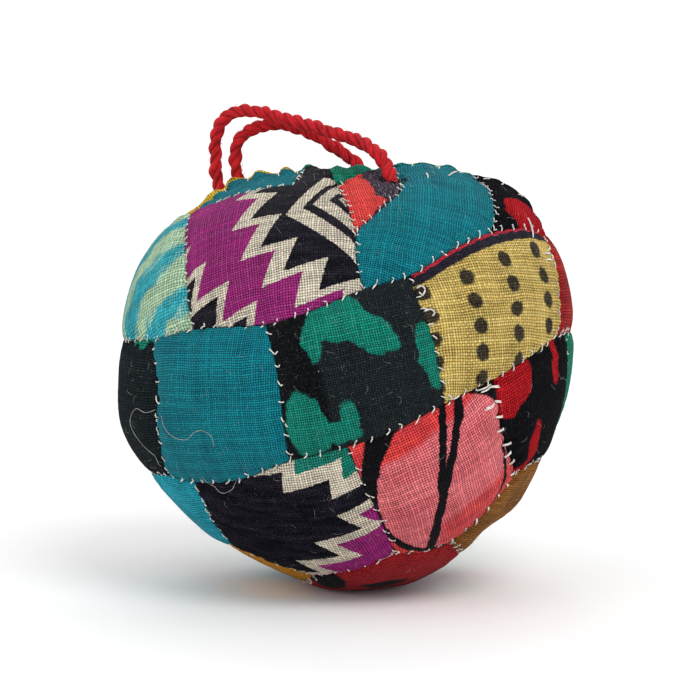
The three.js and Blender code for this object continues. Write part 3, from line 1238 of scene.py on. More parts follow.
def select_rim(mode: str) -> None:
    """Selects the open rim of the mesh that is being edited, as points or as edges.

    Args:
        mode: VERT or EDGE.
    """
    bpy.ops.mesh.select_mode(type=mode)
    bpy.ops.mesh.select_all(action="DESELECT")
    bpy.ops.mesh.select_non_manifold()


def placed(name: str, data: bpy.types.ID) -> Piece:
    """Adds an object made of a mesh, a camera or a light.

    Args:
        name: What it is called.
        data: What it is made of.

    Returns:
        The object.
    """
    made = bpy.data.objects.new(name, data)
    bpy.context.scene.collection.objects.link(made)
    return made


def fetched(items: bpy.types.bpy_prop_collection, name: str, width: int,
            kind: type = np.float32) -> Array:
    """One property of each of a mesh's points or corners.

    Args:
        items: The points or corners.
        name: The property.
        width: How many numbers it has.
        kind: What numbers they are.

    Returns:
        The property, one item a row.
    """
    found = np.empty(len(items) * width, kind)
    items.foreach_get(name, found)
    return found.reshape(-1, width)


def coordinates(mesh: bpy.types.Mesh) -> Array:
    """A mesh's points, one a row."""
    return fetched(mesh.vertices, "co", 3).astype(float)


def place_points(mesh: bpy.types.Mesh, points: Array) -> None:
    """Moves a mesh's points to new places."""
    mesh.vertices.foreach_set("co", points.astype(np.float32).ravel())
    mesh.update()


def loop_points(mesh: bpy.types.Mesh) -> Array:
    """The point that each corner of each face stands on."""
    return fetched(mesh.loops, "vertex_index", 1, np.int32).ravel()


def read_map(mesh: bpy.types.Mesh, which: int | str) -> Array:
    """One map of the surface, a place for each corner of each face."""
    return fetched(mesh.uv_layers[which].data, "uv", 2)


def write_map(mesh: bpy.types.Mesh, name: str, places: Array) -> None:
    """Writes one map of the surface, a place for each corner of each face."""
    layer = mesh.uv_layers.get(name) or mesh.uv_layers.new(name=name)
    layer.data.foreach_set("uv", places.astype(np.float32).ravel())


def shaded_smooth(obj: Piece) -> Piece:
    """Shades a piece smooth all over."""
    obj.data.polygons.foreach_set("use_smooth", [True] * len(obj.data.polygons))
    return obj


def grid_blank(name: str, across: int, down: int) -> Piece:
    """Adds a flat grid of faces, the start of a scrap or of a thread.

    Args:
        name: What it is called.
        across: Faces from left to right.
        down: Faces from top to bottom.

    Returns:
        The grid, one metre wide.
    """
    deselect()
    bpy.ops.mesh.primitive_grid_add(x_subdivisions=across, y_subdivisions=down, size=1)
    blank = bpy.context.object
    blank.name = blank.data.name = name
    return blank


def close_rims(obj: Piece) -> None:
    """Fills each open rim of a mesh with a face and turns its faces outwards.

    Args:
        obj: The object with the mesh.
    """
    with editing(obj):
        bpy.ops.mesh.fill_holes(sides=0)
        bpy.ops.mesh.normals_make_consistent(inside=False)


@dataclass
class ThreadBlank:
    """A closed tube of rings that threads, yarns and fibres are copied from."""

    sides: int
    rings: int
    ring: Array = field(init=False)  # which ring each of its points is on
    circle: Array = field(init=False)  # where in its ring each point is
    faces: list = field(init=False)  # the points of each face
    places: Array = field(init=False)  # the map, a place for each face's corner

    def __post_init__(self) -> None:
        """Rolls a grid up into a tube, closes it and keeps its points and faces."""
        blank = grid_blank("thread_blank", self.sides, self.rings)
        mesh = blank.data
        flat = coordinates(mesh)
        angle = (flat[:, 0] + 0.5) * 2 * pi
        rolled = np.column_stack([np.cos(angle), np.sin(angle), (flat[:, 1] + 0.5) * self.rings])
        place_points(mesh, rolled)
        with editing(blank):
            bpy.ops.mesh.remove_doubles(threshold=0.0001)
        close_rims(blank)
        points = coordinates(mesh)
        self.ring = np.rint(points[:, 2]).astype(int)
        self.circle = points[:, :2]
        self.faces = [tuple(face.vertices) for face in mesh.polygons]
        self.places = read_map(mesh, 0).astype(float)
        bpy.data.objects.remove(blank, do_unlink=True)
        bpy.data.meshes.remove(mesh)

    def swept(self, paths: Array, thickness: Array, ups: Array) -> Array:
        """Lays one copy of the tube along each path.

        Args:
            paths: The lines, as (copies, rings + 1, 3).
            thickness: The radius at each ring, as (copies, rings + 1).
            ups: A direction across each line at each ring.

        Returns:
            The points of all the copies, as (copies, points, 3).
        """
        tangents = unit(np.gradient(paths, axis=1))
        across = unit(np.cross(tangents, ups))
        over = np.cross(across, tangents)
        x, y = self.circle.T[:, None, :, None]
        width = thickness[:, self.ring][..., None]
        return paths[:, self.ring] + width * (x * across[:, self.ring] + y * over[:, self.ring])

    def joined(self, name: str, copies: Array) -> Piece:
        """Makes one object of all the copies of the tube.

        Args:
            name: What the piece is called.
            copies: The points of each copy, in millimetres.

        Returns:
            The piece, with its map named Thread.
        """
        size = copies.shape[1]
        starts = range(0, len(copies) * size, size)
        faces = [tuple(start + v for v in face) for start in starts for face in self.faces]
        mesh = bpy.data.meshes.new(name)
        mesh.from_pydata((copies.reshape(-1, 3) * MM).tolist(), [], faces)
        mesh.update()
        write_map(mesh, "Thread", np.tile(self.places, (len(copies), 1)))
        return shaded_smooth(placed(name, mesh))


@dataclass
class Cover:
    """The filled form that the scraps lie on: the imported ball, smoothed."""

    levels: int = 2  # how often it is subdivided
    least_height: float = 0.4  # of the skin under the scraps, over the floor
    tree: BVHTree = field(init=False)

    def __post_init__(self) -> None:
        """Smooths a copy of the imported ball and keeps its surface."""
        form = self.copy("cover_form")
        take(form)
        smooth = form.modifiers.new("Smooth", "SUBSURF")
        smooth.levels = smooth.render_levels = self.levels
        bpy.ops.object.modifier_apply(modifier=smooth.name)
        points = coordinates(form.data) / MM
        faces = [tuple(face.vertices) for face in form.data.polygons]
        self.tree = BVHTree.FromPolygons(points.tolist(), faces)
        bpy.data.meshes.remove(form.data)

    @staticmethod
    def copy(name: str) -> Piece:
        """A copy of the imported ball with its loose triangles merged.

        Args:
            name: What the copy is called.

        Returns:
            The copy.
        """
        made = placed(name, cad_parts[BALL_NODE].data.copy())
        with editing(made):
            bpy.ops.mesh.remove_doubles(threshold=SAME_POINT)
        return made

    def reach(self, directions: Array) -> Array:
        """How far the form reaches from the ball's middle along each direction."""
        found = [self.tree.ray_cast(Vector(MIDDLE), Vector(way))[3] for way in directions]
        return np.array([REACH if distance is None else distance for distance in found])

    def ground(self, depth: float) -> Piece:
        """The seam allowances under the scraps, one closed skin.

        Args:
            depth: How far under the form it lies, in millimetres.

        Returns:
            The skin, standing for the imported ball.
        """
        skin = self.copy("seam_allowance")
        with editing(skin):
            bpy.ops.transform.shrink_fatten(value=-depth * MM)
        points = coordinates(skin.data)
        points[:, 2] = np.maximum(points[:, 2], self.least_height * MM)
        place_points(skin.data, points)
        return shaded_smooth(skin)


# ---- Scraps ----


@dataclass(frozen=True)
class Filling:
    """The loose filling, which presses a scrap's cloth outwards while its stitches hold it."""

    scale: float = 100.0  # how much larger the cloth is while Blender's cloth is at work
    pressure: float = 1.0  # how hard the filling presses
    slack: float = 0.02  # how much wider the cloth is than its place, as a share
    weight: float = 0.02
    stiffness: float = 0.5
    steps: int = 5
    most: float = 1.0  # that a point may move, in millimetres
    swell: float = 0.8  # how much flatter a scrap starts, because it will be lifted

    def press(self, piece: Piece) -> None:
        """Swells a scrap between its seams, and leaves the result in its mesh.

        Args:
            piece: The scrap, not yet turned in, so that its rim is where it is sewn.
        """
        mesh, middle = piece.data, MIDDLE * MM
        start = coordinates(mesh)
        place_points(mesh, (start - middle) * self.scale)
        swelling = self.cloth(piece)
        for step in range(1, self.steps + 1):
            bpy.context.scene.frame_set(step)
        take(piece)
        bpy.ops.object.modifier_apply(modifier=swelling.name)
        piece.vertex_groups.clear()
        moved = coordinates(mesh) / self.scale + middle - start
        length = np.linalg.norm(moved, axis=1, keepdims=True).clip(1e-9)
        most = self.most * MM
        pressed = start + moved / length * most * np.tanh(length / most)
        pressed[:, 2] = np.maximum(pressed[:, 2], 0.0)
        place_points(mesh, pressed)
        bpy.context.scene.frame_set(1)

    def cloth(self, piece: Piece) -> bpy.types.Modifier:
        """Puts Blender's cloth on a scrap, held at its rim.

        Args:
            piece: The scrap.

        Returns:
            Its new modifier.
        """
        with editing(piece):
            select_rim("VERT")
        rim = [point.index for point in piece.data.vertices if point.select]
        piece.vertex_groups.new(name="sewn").add(rim, 1.0, "REPLACE")
        swelling = piece.modifiers.new("Swelling", "CLOTH")
        swelling.collision_settings.use_collision = False
        swelling.collision_settings.use_self_collision = False
        sewn = swelling.settings
        sewn.vertex_group_mass = "sewn"
        sewn.mass = self.weight
        sewn.shrink_min = -self.slack
        sewn.bending_stiffness = self.stiffness
        sewn.use_pressure = True
        sewn.uniform_pressure_force = self.pressure
        sewn.effector_weights.gravity = 0.0
        return swelling


@dataclass
class ScrapMaker:
    """Lays the scraps over the form between their seams."""

    net: SeamNet
    cover: Cover
    spacing: float = 0.52  # between the mesh's points, in millimetres
    crowding: float = 0.6  # how much closer they lie at the seams, up to 1
    lip: float = 0.75  # how wide the turned-in lip at a seam is
    gap: float = 0.06  # from the seam's line to each edge
    skirt: float = 1.5  # how deep the turned-in edge goes
    edge_fade: float = 1.3  # how far in a seam still pulls the cloth sideways
    roll: Pair = (0.25, 2.2)  # its depth, for the groove's, and how far from the seam it reaches
    dimple_width: float = 1.1
    gather_at: float = 1.2  # how far in the cloth stands highest between stitches
    pulled: Pair = (0.1, 0.75)  # how far a stitch pulls back a plain edge, and a laid-on one
    overlap: Pair = (0.55, 3.0)  # how far a laid-on edge reaches, and how far in it stands up
    fullness: float = 0.6  # the puff is squarer for less
    filling: Filling = Filling()

    def lay(self, scrap: Scrap) -> Piece:
        """Makes one scrap.

        Args:
            scrap: The scrap to make.

        Returns:
            A closed piece of cloth in its place, with its maps.
        """
        sides = [self.net.side(s) for s in (scrap.top, scrap.right, scrap.bottom, scrap.left)]
        top, right, bottom, left = sides
        across = self.count(top, bottom)
        down = self.count(right, left)
        piece = grid_blank(scrap.name, across, down)
        flat = coordinates(piece.data)
        s, t = flat[:, 0] + 0.5, 0.5 - flat[:, 1]
        s, t = (v - self.crowding * np.sin(2 * pi * v) / (2 * pi) for v in (s, t))
        towards = self.between(sides, s, t)
        place_points(piece.data, self.shaped(scrap, sides, towards, s, t) * MM)
        at = loop_points(piece.data)
        write_map(piece.data, "Share", np.column_stack([s, 1 - t])[at])
        piece.data.uv_layers.remove(piece.data.uv_layers[0])
        self.filling.press(piece)
        self.turn_in(piece)
        self.finish_maps(piece, scrap, sides)
        return shaded_smooth(piece)

    def count(self, one: Edge, other: Edge) -> int:
        """How many faces run along two facing sides."""
        longest = max(lengths_along(edge.points)[-1] for edge in (one, other)) * REACH
        return int(np.clip(round(longest / self.spacing), 10, 84))

    @staticmethod
    def between(sides: list[Edge], s: Array, t: Array) -> Array:
        """Blends four sides into the directions of a scrap's points.

        Args:
            sides: The top, right, bottom and left sides.
            s: The share of the way from left to right, for each point.
            t: The share of the way down.

        Returns:
            A unit direction for each point.
        """

        def on(edge: Edge, share: Array) -> Array:
            """The points at a share of the way along a side.

            Args:
                edge: The side.
                share: The shares.

            Returns:
                The points.
            """
            along = lengths_along(edge.points)
            if along[-1] == 0:
                return np.repeat(edge.points, len(share), axis=0)
            return sampled(edge.points, along, share * along[-1])

        top, right, bottom, left = sides
        start, end = top.points[0], top.points[-1]
        low_start, low_end = bottom.points[0], bottom.points[-1]
        s1, t1 = s[:, None], t[:, None]
        edges = (1 - t1) * on(top, s) + t1 * on(bottom, s)
        edges = edges + (1 - s1) * on(left, t) + s1 * on(right, t)
        corners = (1 - s1) * (1 - t1) * start + s1 * (1 - t1) * end
        corners = corners + (1 - s1) * t1 * low_start + s1 * t1 * low_end
        return unit(edges - corners)

    def shaped(self, scrap: Scrap, sides: list[Edge], towards: Array,
               s: Array, t: Array) -> Array:
        """Puffs, gathers and turns in a scrap's cloth.

        Args:
            scrap: The scrap.
            sides: Its sides.
            towards: The direction of each point.
            s: Its share of the way across.
            t: Its share of the way down.

        Returns:
            The points in millimetres.
        """
        edge = np.vstack([side.points for side in sides])
        tangent = np.vstack([side.tangents for side in sides])
        phase = np.concatenate([side.phases for side in sides])
        sewing = [kind.value for side in sides for kind in side.sewing]
        away = np.linalg.norm(towards[:, None] - edge[None], axis=2)
        nearest = away.argmin(axis=1)
        far = away[np.arange(len(towards)), nearest] * REACH
        centre = unit(towards.mean(axis=0))
        outward = np.cross(edge, tangent)
        outward *= -np.sign(((centre - edge) * outward).sum(axis=1))[:, None]
        groove, dimple, gather = (
            np.array([getattr(kind, name) for kind in sewing])[nearest]
            for name in ("groove", "dimple", "gather")
        )
        pull = 0.5 + 0.5 * np.cos(2 * pi * phase[nearest])
        laid_on = np.array([kind is Sewing.LAID_ON.value for kind in sewing])[nearest]
        over, lifted = self.overlap
        spread = -self.gap - self.pulled[0] * pull
        if scrap.lift:
            spread = np.where(laid_on, over - self.pulled[1] * pull**2, spread)
        near_edge = np.exp(-((far / self.edge_fade) ** 2))
        moved = unit(towards + outward[nearest] * (spread * near_edge / REACH)[:, None])
        turned_in = 1 - np.sqrt(1 - np.clip(1 - far / self.lip, 0, 1) ** 2)
        height = -groove * (turned_in + self.roll[0] * np.exp(-far / self.roll[1]))
        height -= dimple * pull**3 * np.exp(-((far / self.dimple_width) ** 2))
        height += gather * (0.5 - pull) * (far / self.gather_at) * np.exp(1 - far / self.gather_at)
        crown = scrap.puff - self.filling.swell
        height += crown * (np.sin(pi * s) * np.sin(pi * t)).clip(0) ** self.fullness
        height += scrap.lift * np.exp(-((far / lifted) ** 2)) * np.where(laid_on, 1.0, 0.5)
        height += self.rumple(moved)
        points = MIDDLE + moved * (self.cover.reach(moved) + height)[:, None]
        points[:, 2] = np.maximum(points[:, 2], 0.0)
        return points

    @staticmethod
    def rumple(towards: Array) -> Array:
        """Small uneven rises of thin cloth over loose filling, in millimetres.

        Args:
            towards: The direction of each point.

        Returns:
            How far each rises.
        """
        rises = 0.0
        for height, width in ((0.34, 7.5), (0.07, 2.3)):
            found = [noise.noise(Vector(place) / width) for place in towards * REACH]
            rises = rises + height * np.array(found)
        return rises

    def turn_in(self, piece: Piece) -> None:
        """Turns the edge in towards the ball's middle and closes the scrap underneath.

        Args:
            piece: The scrap.
        """
        shrink = (1 - self.skirt / REACH,) * 3
        with editing(piece):
            bpy.ops.mesh.remove_doubles(threshold=SAME_POINT / 5)
            select_rim("EDGE")
            bpy.ops.mesh.extrude_region_move()
            bpy.ops.transform.resize(value=shrink, center_override=tuple(MIDDLE * MM))
            bpy.ops.mesh.fill(use_beauty=False)

    def finish_maps(self, piece: Piece, scrap: Scrap, sides: list[Edge]) -> None:
        """Writes a scrap's maps: its cloth in millimetres, and the one its finish is kept in.

        Args:
            piece: The scrap's object.
            scrap: The scrap.
            sides: Its sides.
        """
        mesh = piece.data
        out = coordinates(mesh) / MM - MIDDLE
        top, bottom = sides[0].points, sides[2].points
        centre = unit(coordinates(mesh).mean(axis=0) / MM - MIDDLE)
        up = unit(top.mean(axis=0)) - unit(bottom.mean(axis=0))
        up = unit(up - centre * (up @ centre))
        side = np.cross(up, centre)
        turn = radians(scrap.grain)
        across = cos(turn) * side + sin(turn) * up
        upward = cos(turn) * up - sin(turn) * side
        towards = unit(out)
        angle = np.arccos(np.clip(towards @ centre, -1, 1))
        flat = unit(towards - centre * (towards @ centre)[:, None]) * (angle * REACH)[:, None]
        cloth = np.column_stack([flat @ across, flat @ upward]) + np.array(scrap.shift)
        write_map(mesh, "Cloth", cloth[loop_points(mesh)])
        radius = np.linalg.norm(out, axis=1)
        hidden = [face for face in mesh.polygons if self.is_hidden(face, radius, towards)]
        write_map(mesh, "OFBake", self.kept(read_map(mesh, "Share"), hidden))

    @staticmethod
    def kept(share: Array, hidden: list) -> Array:
        """Where a scrap's finish is kept: what shows in a wide part, what doesn't in rows below.

        Args:
            share: The place of each face's corner across and up the scrap.
            hidden: The faces that don't show.

        Returns:
            The places, where no two faces meet.
        """
        corner, size = np.array([0.01, 0.045]), np.array([0.98, 0.945])
        columns, row_height, radius = 160, 0.006, 0.35
        kept = corner + share * size
        for k, face in enumerate(hidden):
            column, row = k % columns, k // columns
            for turn, loop in enumerate(face.loop_indices):
                angle = 2 * pi * turn / face.loop_total
                kept[loop] = ((column + 0.5 + radius * cos(angle)) / columns,
                              (row + 0.5 + radius * sin(angle)) * row_height)
        return kept

    @staticmethod
    def is_hidden(face: bpy.types.MeshPolygon, radius: Array, towards: Array) -> bool:
        """Whether a face is part of the turned-in edge or the underside."""
        facing = float(np.dot(np.array(face.normal), towards[face.vertices[0]]))
        return facing < -0.2 or np.ptp(radius[list(face.vertices)]) > 1.2


# ---- Stitches, cords and fibres ----

# Stitches that stray from the seams' rhythm, by the turn and rise of their two feet.
ODD_STITCHES = (
    ((35.5, 2.5), (40.5, 4)), ((36.5, 2), (40.5, 3.5)), ((37.5, -2), (41.5, -1)),
    ((37, -2.5), (41, -1.5)), ((20.5, 29.5), (22, 30)), ((22, 30), (23, 29)),
    ((23, 29), (22, 27.5)), ((22, 27.5), (21, 28.5)), ((21.5, 23.5), (23.5, 24)),
    ((23.5, 24), (24.5, 23)), ((24.5, 23), (23.5, 22)), ((26.5, 2.5), (28, 1)),
    ((28, 1), (30, 2)), ((73.5, 32.5), (79, 31.5)), ((79, 31.5), (77.5, 30)),
    ((77.5, 30), (73.5, 31)), ((77.5, 32.5), (83, 33)), ((81, 42), (73, 36.5)),
    ((72, 68), (59.5, 65)), ((73, 62.5), (96, 61)), ((90, 66), (99, 65.5)),
)


@dataclass
class Surface:
    """The finished cloth, for what is sewn on it or lies on it."""

    scraps: list[Piece]
    tree: BVHTree = field(init=False)

    def __post_init__(self) -> None:
        """Keeps the outer surface of all the scraps."""
        points, faces, start = [], [], 0
        for scrap in self.scraps:
            found = coordinates(scrap.data) / MM
            points += found.tolist()
            faces += [tuple(start + v for v in face.vertices) for face in scrap.data.polygons]
            start += len(found)
        self.tree = BVHTree.FromPolygons(points, faces)

    def reach(self, towards: Array) -> Array:
        """How far the cloth reaches from the ball's middle along each direction.

        Args:
            towards: Unit directions in the last axis.

        Returns:
            The reach along each, in millimetres.
        """
        flat = towards.reshape(-1, 3)
        outside = 1.7 * REACH
        found = []
        for way in flat:
            start = MIDDLE + way * outside
            hit = self.tree.ray_cast(Vector(start), Vector(-way))[3]
            if hit is None:
                near = self.tree.find_nearest(Vector(MIDDLE + way * REACH))[0]
                found.append((near - Vector(MIDDLE)).length)
            else:
                found.append(outside - hit)
        return np.array(found).reshape(towards.shape[:-1])


@dataclass
class Needlework:
    """All the stitches that show, sewn through the finished cloth."""

    net: SeamNet
    surface: Surface
    sides: int = 6
    rings: int = 7
    seed: int = 11  # starts the chance in how even the sewing is
    rise: float = 0.08  # how far a stitch's middle stands off the straight line between its feet
    dive: float = 0.16  # the share of a stitch at each end that goes down into the cloth
    thin_end: float = 0.62  # how thick the thread's ends are, as a share of its middle
    widths: Pair = (0.65, 1.25)  # least and most, as shares of the usual one
    slants: Pair = (0.15, 1.45)  # the same, of how far a stitch runs along
    tails: Pair = (0.45, 1.3)  # the same, of how far a tail reaches
    leans: Pair = (-0.75, 0.95)  # and of how far a tail leans along the seam, for its length
    set_off: float = 0.25  # how far a stitch lies to either side of its seam
    odd_thread: float = 0.34  # the thickness of the odd stitches' thread
    odd_rise: float = 0.1  # how far their middles stand off
    blank: ThreadBlank = field(init=False)

    def __post_init__(self) -> None:
        """Rolls the thread's blank and starts the chance."""
        self.blank = ThreadBlank(self.sides, self.rings)
        self.chance = np.random.default_rng(self.seed)

    def arch(self, feet: Array, thread: float, rise: float) -> tuple[Array, ...]:
        """Runs threads over the cloth between pairs of feet that go into it.

        Args:
            feet: Unit directions of each thread's two feet, as (threads, 2, 3).
            thread: The thread's thickness.
            rise: How far its middle stands off a straight line.

        Returns:
            The paths, their thickness and the way up, ring by ring.
        """
        share = np.linspace(0, 1, self.rings + 1)
        from_end = np.minimum(share, 1 - share)
        run = share**0.9 / (share**0.9 + (1 - share) ** 0.9)
        towards = unit(feet[:, :1] * (1 - run)[None, :, None] + feet[:, 1:] * run[None, :, None])
        under = self.surface.reach(towards)
        taut = under[:, :1] * (1 - run) + under[:, -1:] * run
        bow = np.sin(pi * share)
        lying = np.maximum(under + 0.3 * thread, taut + 0.2 * thread) + rise * bow
        dive = np.clip(1 - from_end / self.dive, 0, 1)
        reach = lying * (1 - dive) + (under - 0.7 * thread) * dive
        paths = MIDDLE + towards * reach[..., None]
        taper = self.thin_end + (1 - self.thin_end) * np.clip(from_end / 0.2, 0, 1)
        paths[..., 2] = np.maximum(paths[..., 2], 0.4 * thread)
        return paths, 0.5 * thread * np.repeat(taper[None], len(feet), 0), towards

    def feet(self, line: SewnLine) -> Array:
        """Where the stitches of a seam, and their short tails, go into the cloth.

        Args:
            line: The seam.

        Returns:
            Unit directions, as (threads, 2, 3).
        """
        way = line.seam.sewing.value
        found = []
        for along in line.stitches:
            point, tangent = line.at(along)
            across = np.cross(point, tangent)
            reach = way.reach * self.chance.uniform(*self.widths) / 2
            slant = way.slant * self.chance.uniform(*self.slants) / 2
            set_off = self.chance.uniform(-self.set_off, self.set_off)
            one = point + (across * (reach + set_off) + tangent * slant) / REACH
            two = point - (across * (reach - set_off) + tangent * slant) / REACH
            found.append((unit(one), unit(two)))
            if way.strands > 1:
                beside = tangent * 1.15 * way.thread / REACH
                found.append((unit(one + beside), unit(two + beside * 0.6)))
            if way.tail:
                back = way.tail * self.chance.uniform(*self.tails)
                lean = self.chance.uniform(*self.leans)
                end = one + (across * 0.8 - tangent * lean) * back / REACH
                found.append((unit(one - tangent * 0.1 * slant / REACH), unit(end)))
        return np.array(found)

    def sewn(self, name: str, feet: Array, thread: float, rise: float) -> Piece:
        """One piece of all the threads between some pairs of feet."""
        return self.blank.joined(name, self.blank.swept(*self.arch(feet, thread, rise)))

    def sew(self) -> list[Piece]:
        """Sews every seam, one piece for each kind of sewing, and then the odd stitches.

        Returns:
            The pieces.
        """
        pieces = []
        for sewing in Sewing:
            lines = [line for line in self.net.lines if line.seam.sewing is sewing]
            feet = np.concatenate([self.feet(line) for line in lines])
            name = f"{sewing.name.lower()}_stitches"
            pieces.append(self.sewn(name, feet, sewing.value.thread, self.rise))
        feet = np.array([[direction(*foot) for foot in pair] for pair in ODD_STITCHES])
        return [*pieces, self.sewn("odd_stitches", feet, self.odd_thread, self.odd_rise)]


@dataclass
class TwistedCord:
    """One strand of the hanging loop, three yarns twisted together."""

    name: str
    route: tuple  # in millimetres
    node: str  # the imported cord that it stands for
    yarn: float = 0.69  # each yarn's radius
    spread: float = 0.68  # from the cord's middle to each yarn's
    lay: float = 7.8  # the length of one twist
    plies: int = 3
    start_turn: float = 0.0  # where round the cord the first yarn starts, in degrees
    buried: float = 2.6  # how far each end goes on into the cloth
    loose: float = 0.36  # how unevenly the yarns lie, as a share
    slubby: float = 0.3  # how unevenly thick they are, as a share
    step: float = 0.3  # between a yarn's rings
    sides: int = 12

    def line(self) -> Array:
        """The cord's middle line in millimetres, evenly spaced, with its buried ends.

        Returns:
            Its points, one a row.
        """
        fine = one_line(smooth_line(np.array(self.route), 0.1))
        ends = []
        for end, before in ((fine[0], fine[4]), (fine[-1], fine[-5])):
            on, inward = unit(end - before), unit(MIDDLE - end)
            run = np.linspace(0.1, self.buried, 26)[:, None]
            ends.append(end + on * run + inward * run**2 / self.buried * 0.7)
        whole = np.vstack([ends[0][::-1], fine, ends[1]])
        along = lengths_along(whole)
        even = np.linspace(0, along[-1], round(along[-1] / self.step) + 1)
        return sampled(whole, along, even)

    def build(self) -> Piece:
        """Returns:
            The cord.
        """
        line = self.line()
        tangents = unit(np.gradient(line, axis=0))
        side = unit(np.cross(tangents[0], [0.0, 1.0, 0.0]))
        sides = []
        for tangent in tangents:
            side = unit(side - tangent * (side @ tangent))
            sides.append(side)
        sides = np.array(sides)
        ups = np.cross(tangents, sides)
        along = lengths_along(line)
        blank = ThreadBlank(self.sides, len(line) - 1)
        paths, widths = [], []
        for ply in range(self.plies):
            turn = 2 * pi * (along / self.lay + ply / self.plies)
            turn = turn + radians(self.start_turn)
            slack = np.array([noise.noise(Vector((a / 2.4, 9.0 * ply, 0.5))) for a in along])
            reach = self.spread * (1 + self.loose * slack)
            paths.append(line + (reach * np.cos(turn))[:, None] * sides
                         + (reach * np.sin(turn))[:, None] * ups)
            widths.append(self.yarn * (1 + self.slubby * slack))
        points = blank.swept(np.array(paths), np.array(widths),
                             np.repeat(sides[None], self.plies, 0))
        cord = blank.joined(self.name, points)
        share = np.tile(blank.places, (self.plies, 1))
        write_map(cord.data, "Thread", share * np.array([2 * pi * self.yarn, along[-1]]))
        # The Depth map, how far each point lies from the cord's middle, sets the painted shade in
        # the crevices of the finish.
        out = np.linalg.norm(points - line[blank.ring][None], axis=2).ravel()
        write_map(cord.data, "Depth", np.column_stack([out, out])[loop_points(cord.data)])
        write_map(cord.data, "OFBake", self.kept(share, blank))
        cord.data.uv_layers["Thread"].active_render = True
        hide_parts(self.node)
        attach(cord, BODY)
        return cord

    def kept(self, share: Array, blank: ThreadBlank) -> Array:
        """Lays the yarns side by side in strips, for their finish to be kept in.

        Args:
            share: The place of each face's corner round and along its yarn.
            blank: The yarns' blank.

        Returns:
            The places, where no two faces meet.
        """
        strips = 6
        count = len(share) // self.plies
        ply = np.repeat(np.arange(self.plies), count)
        middle = np.empty(len(share))
        start = 0
        for face in blank.faces * self.plies:
            middle[start:start + len(face)] = share[start:start + len(face), 1].mean()
            start += len(face)
        strip = np.minimum((middle * strips).astype(int), strips - 1)
        column = ply * strips + strip
        wide = 0.9 * share[:, 0] + 0.05
        across = (column + wide) / (self.plies * strips)
        return np.column_stack([across, share[:, 1] * strips - strip])


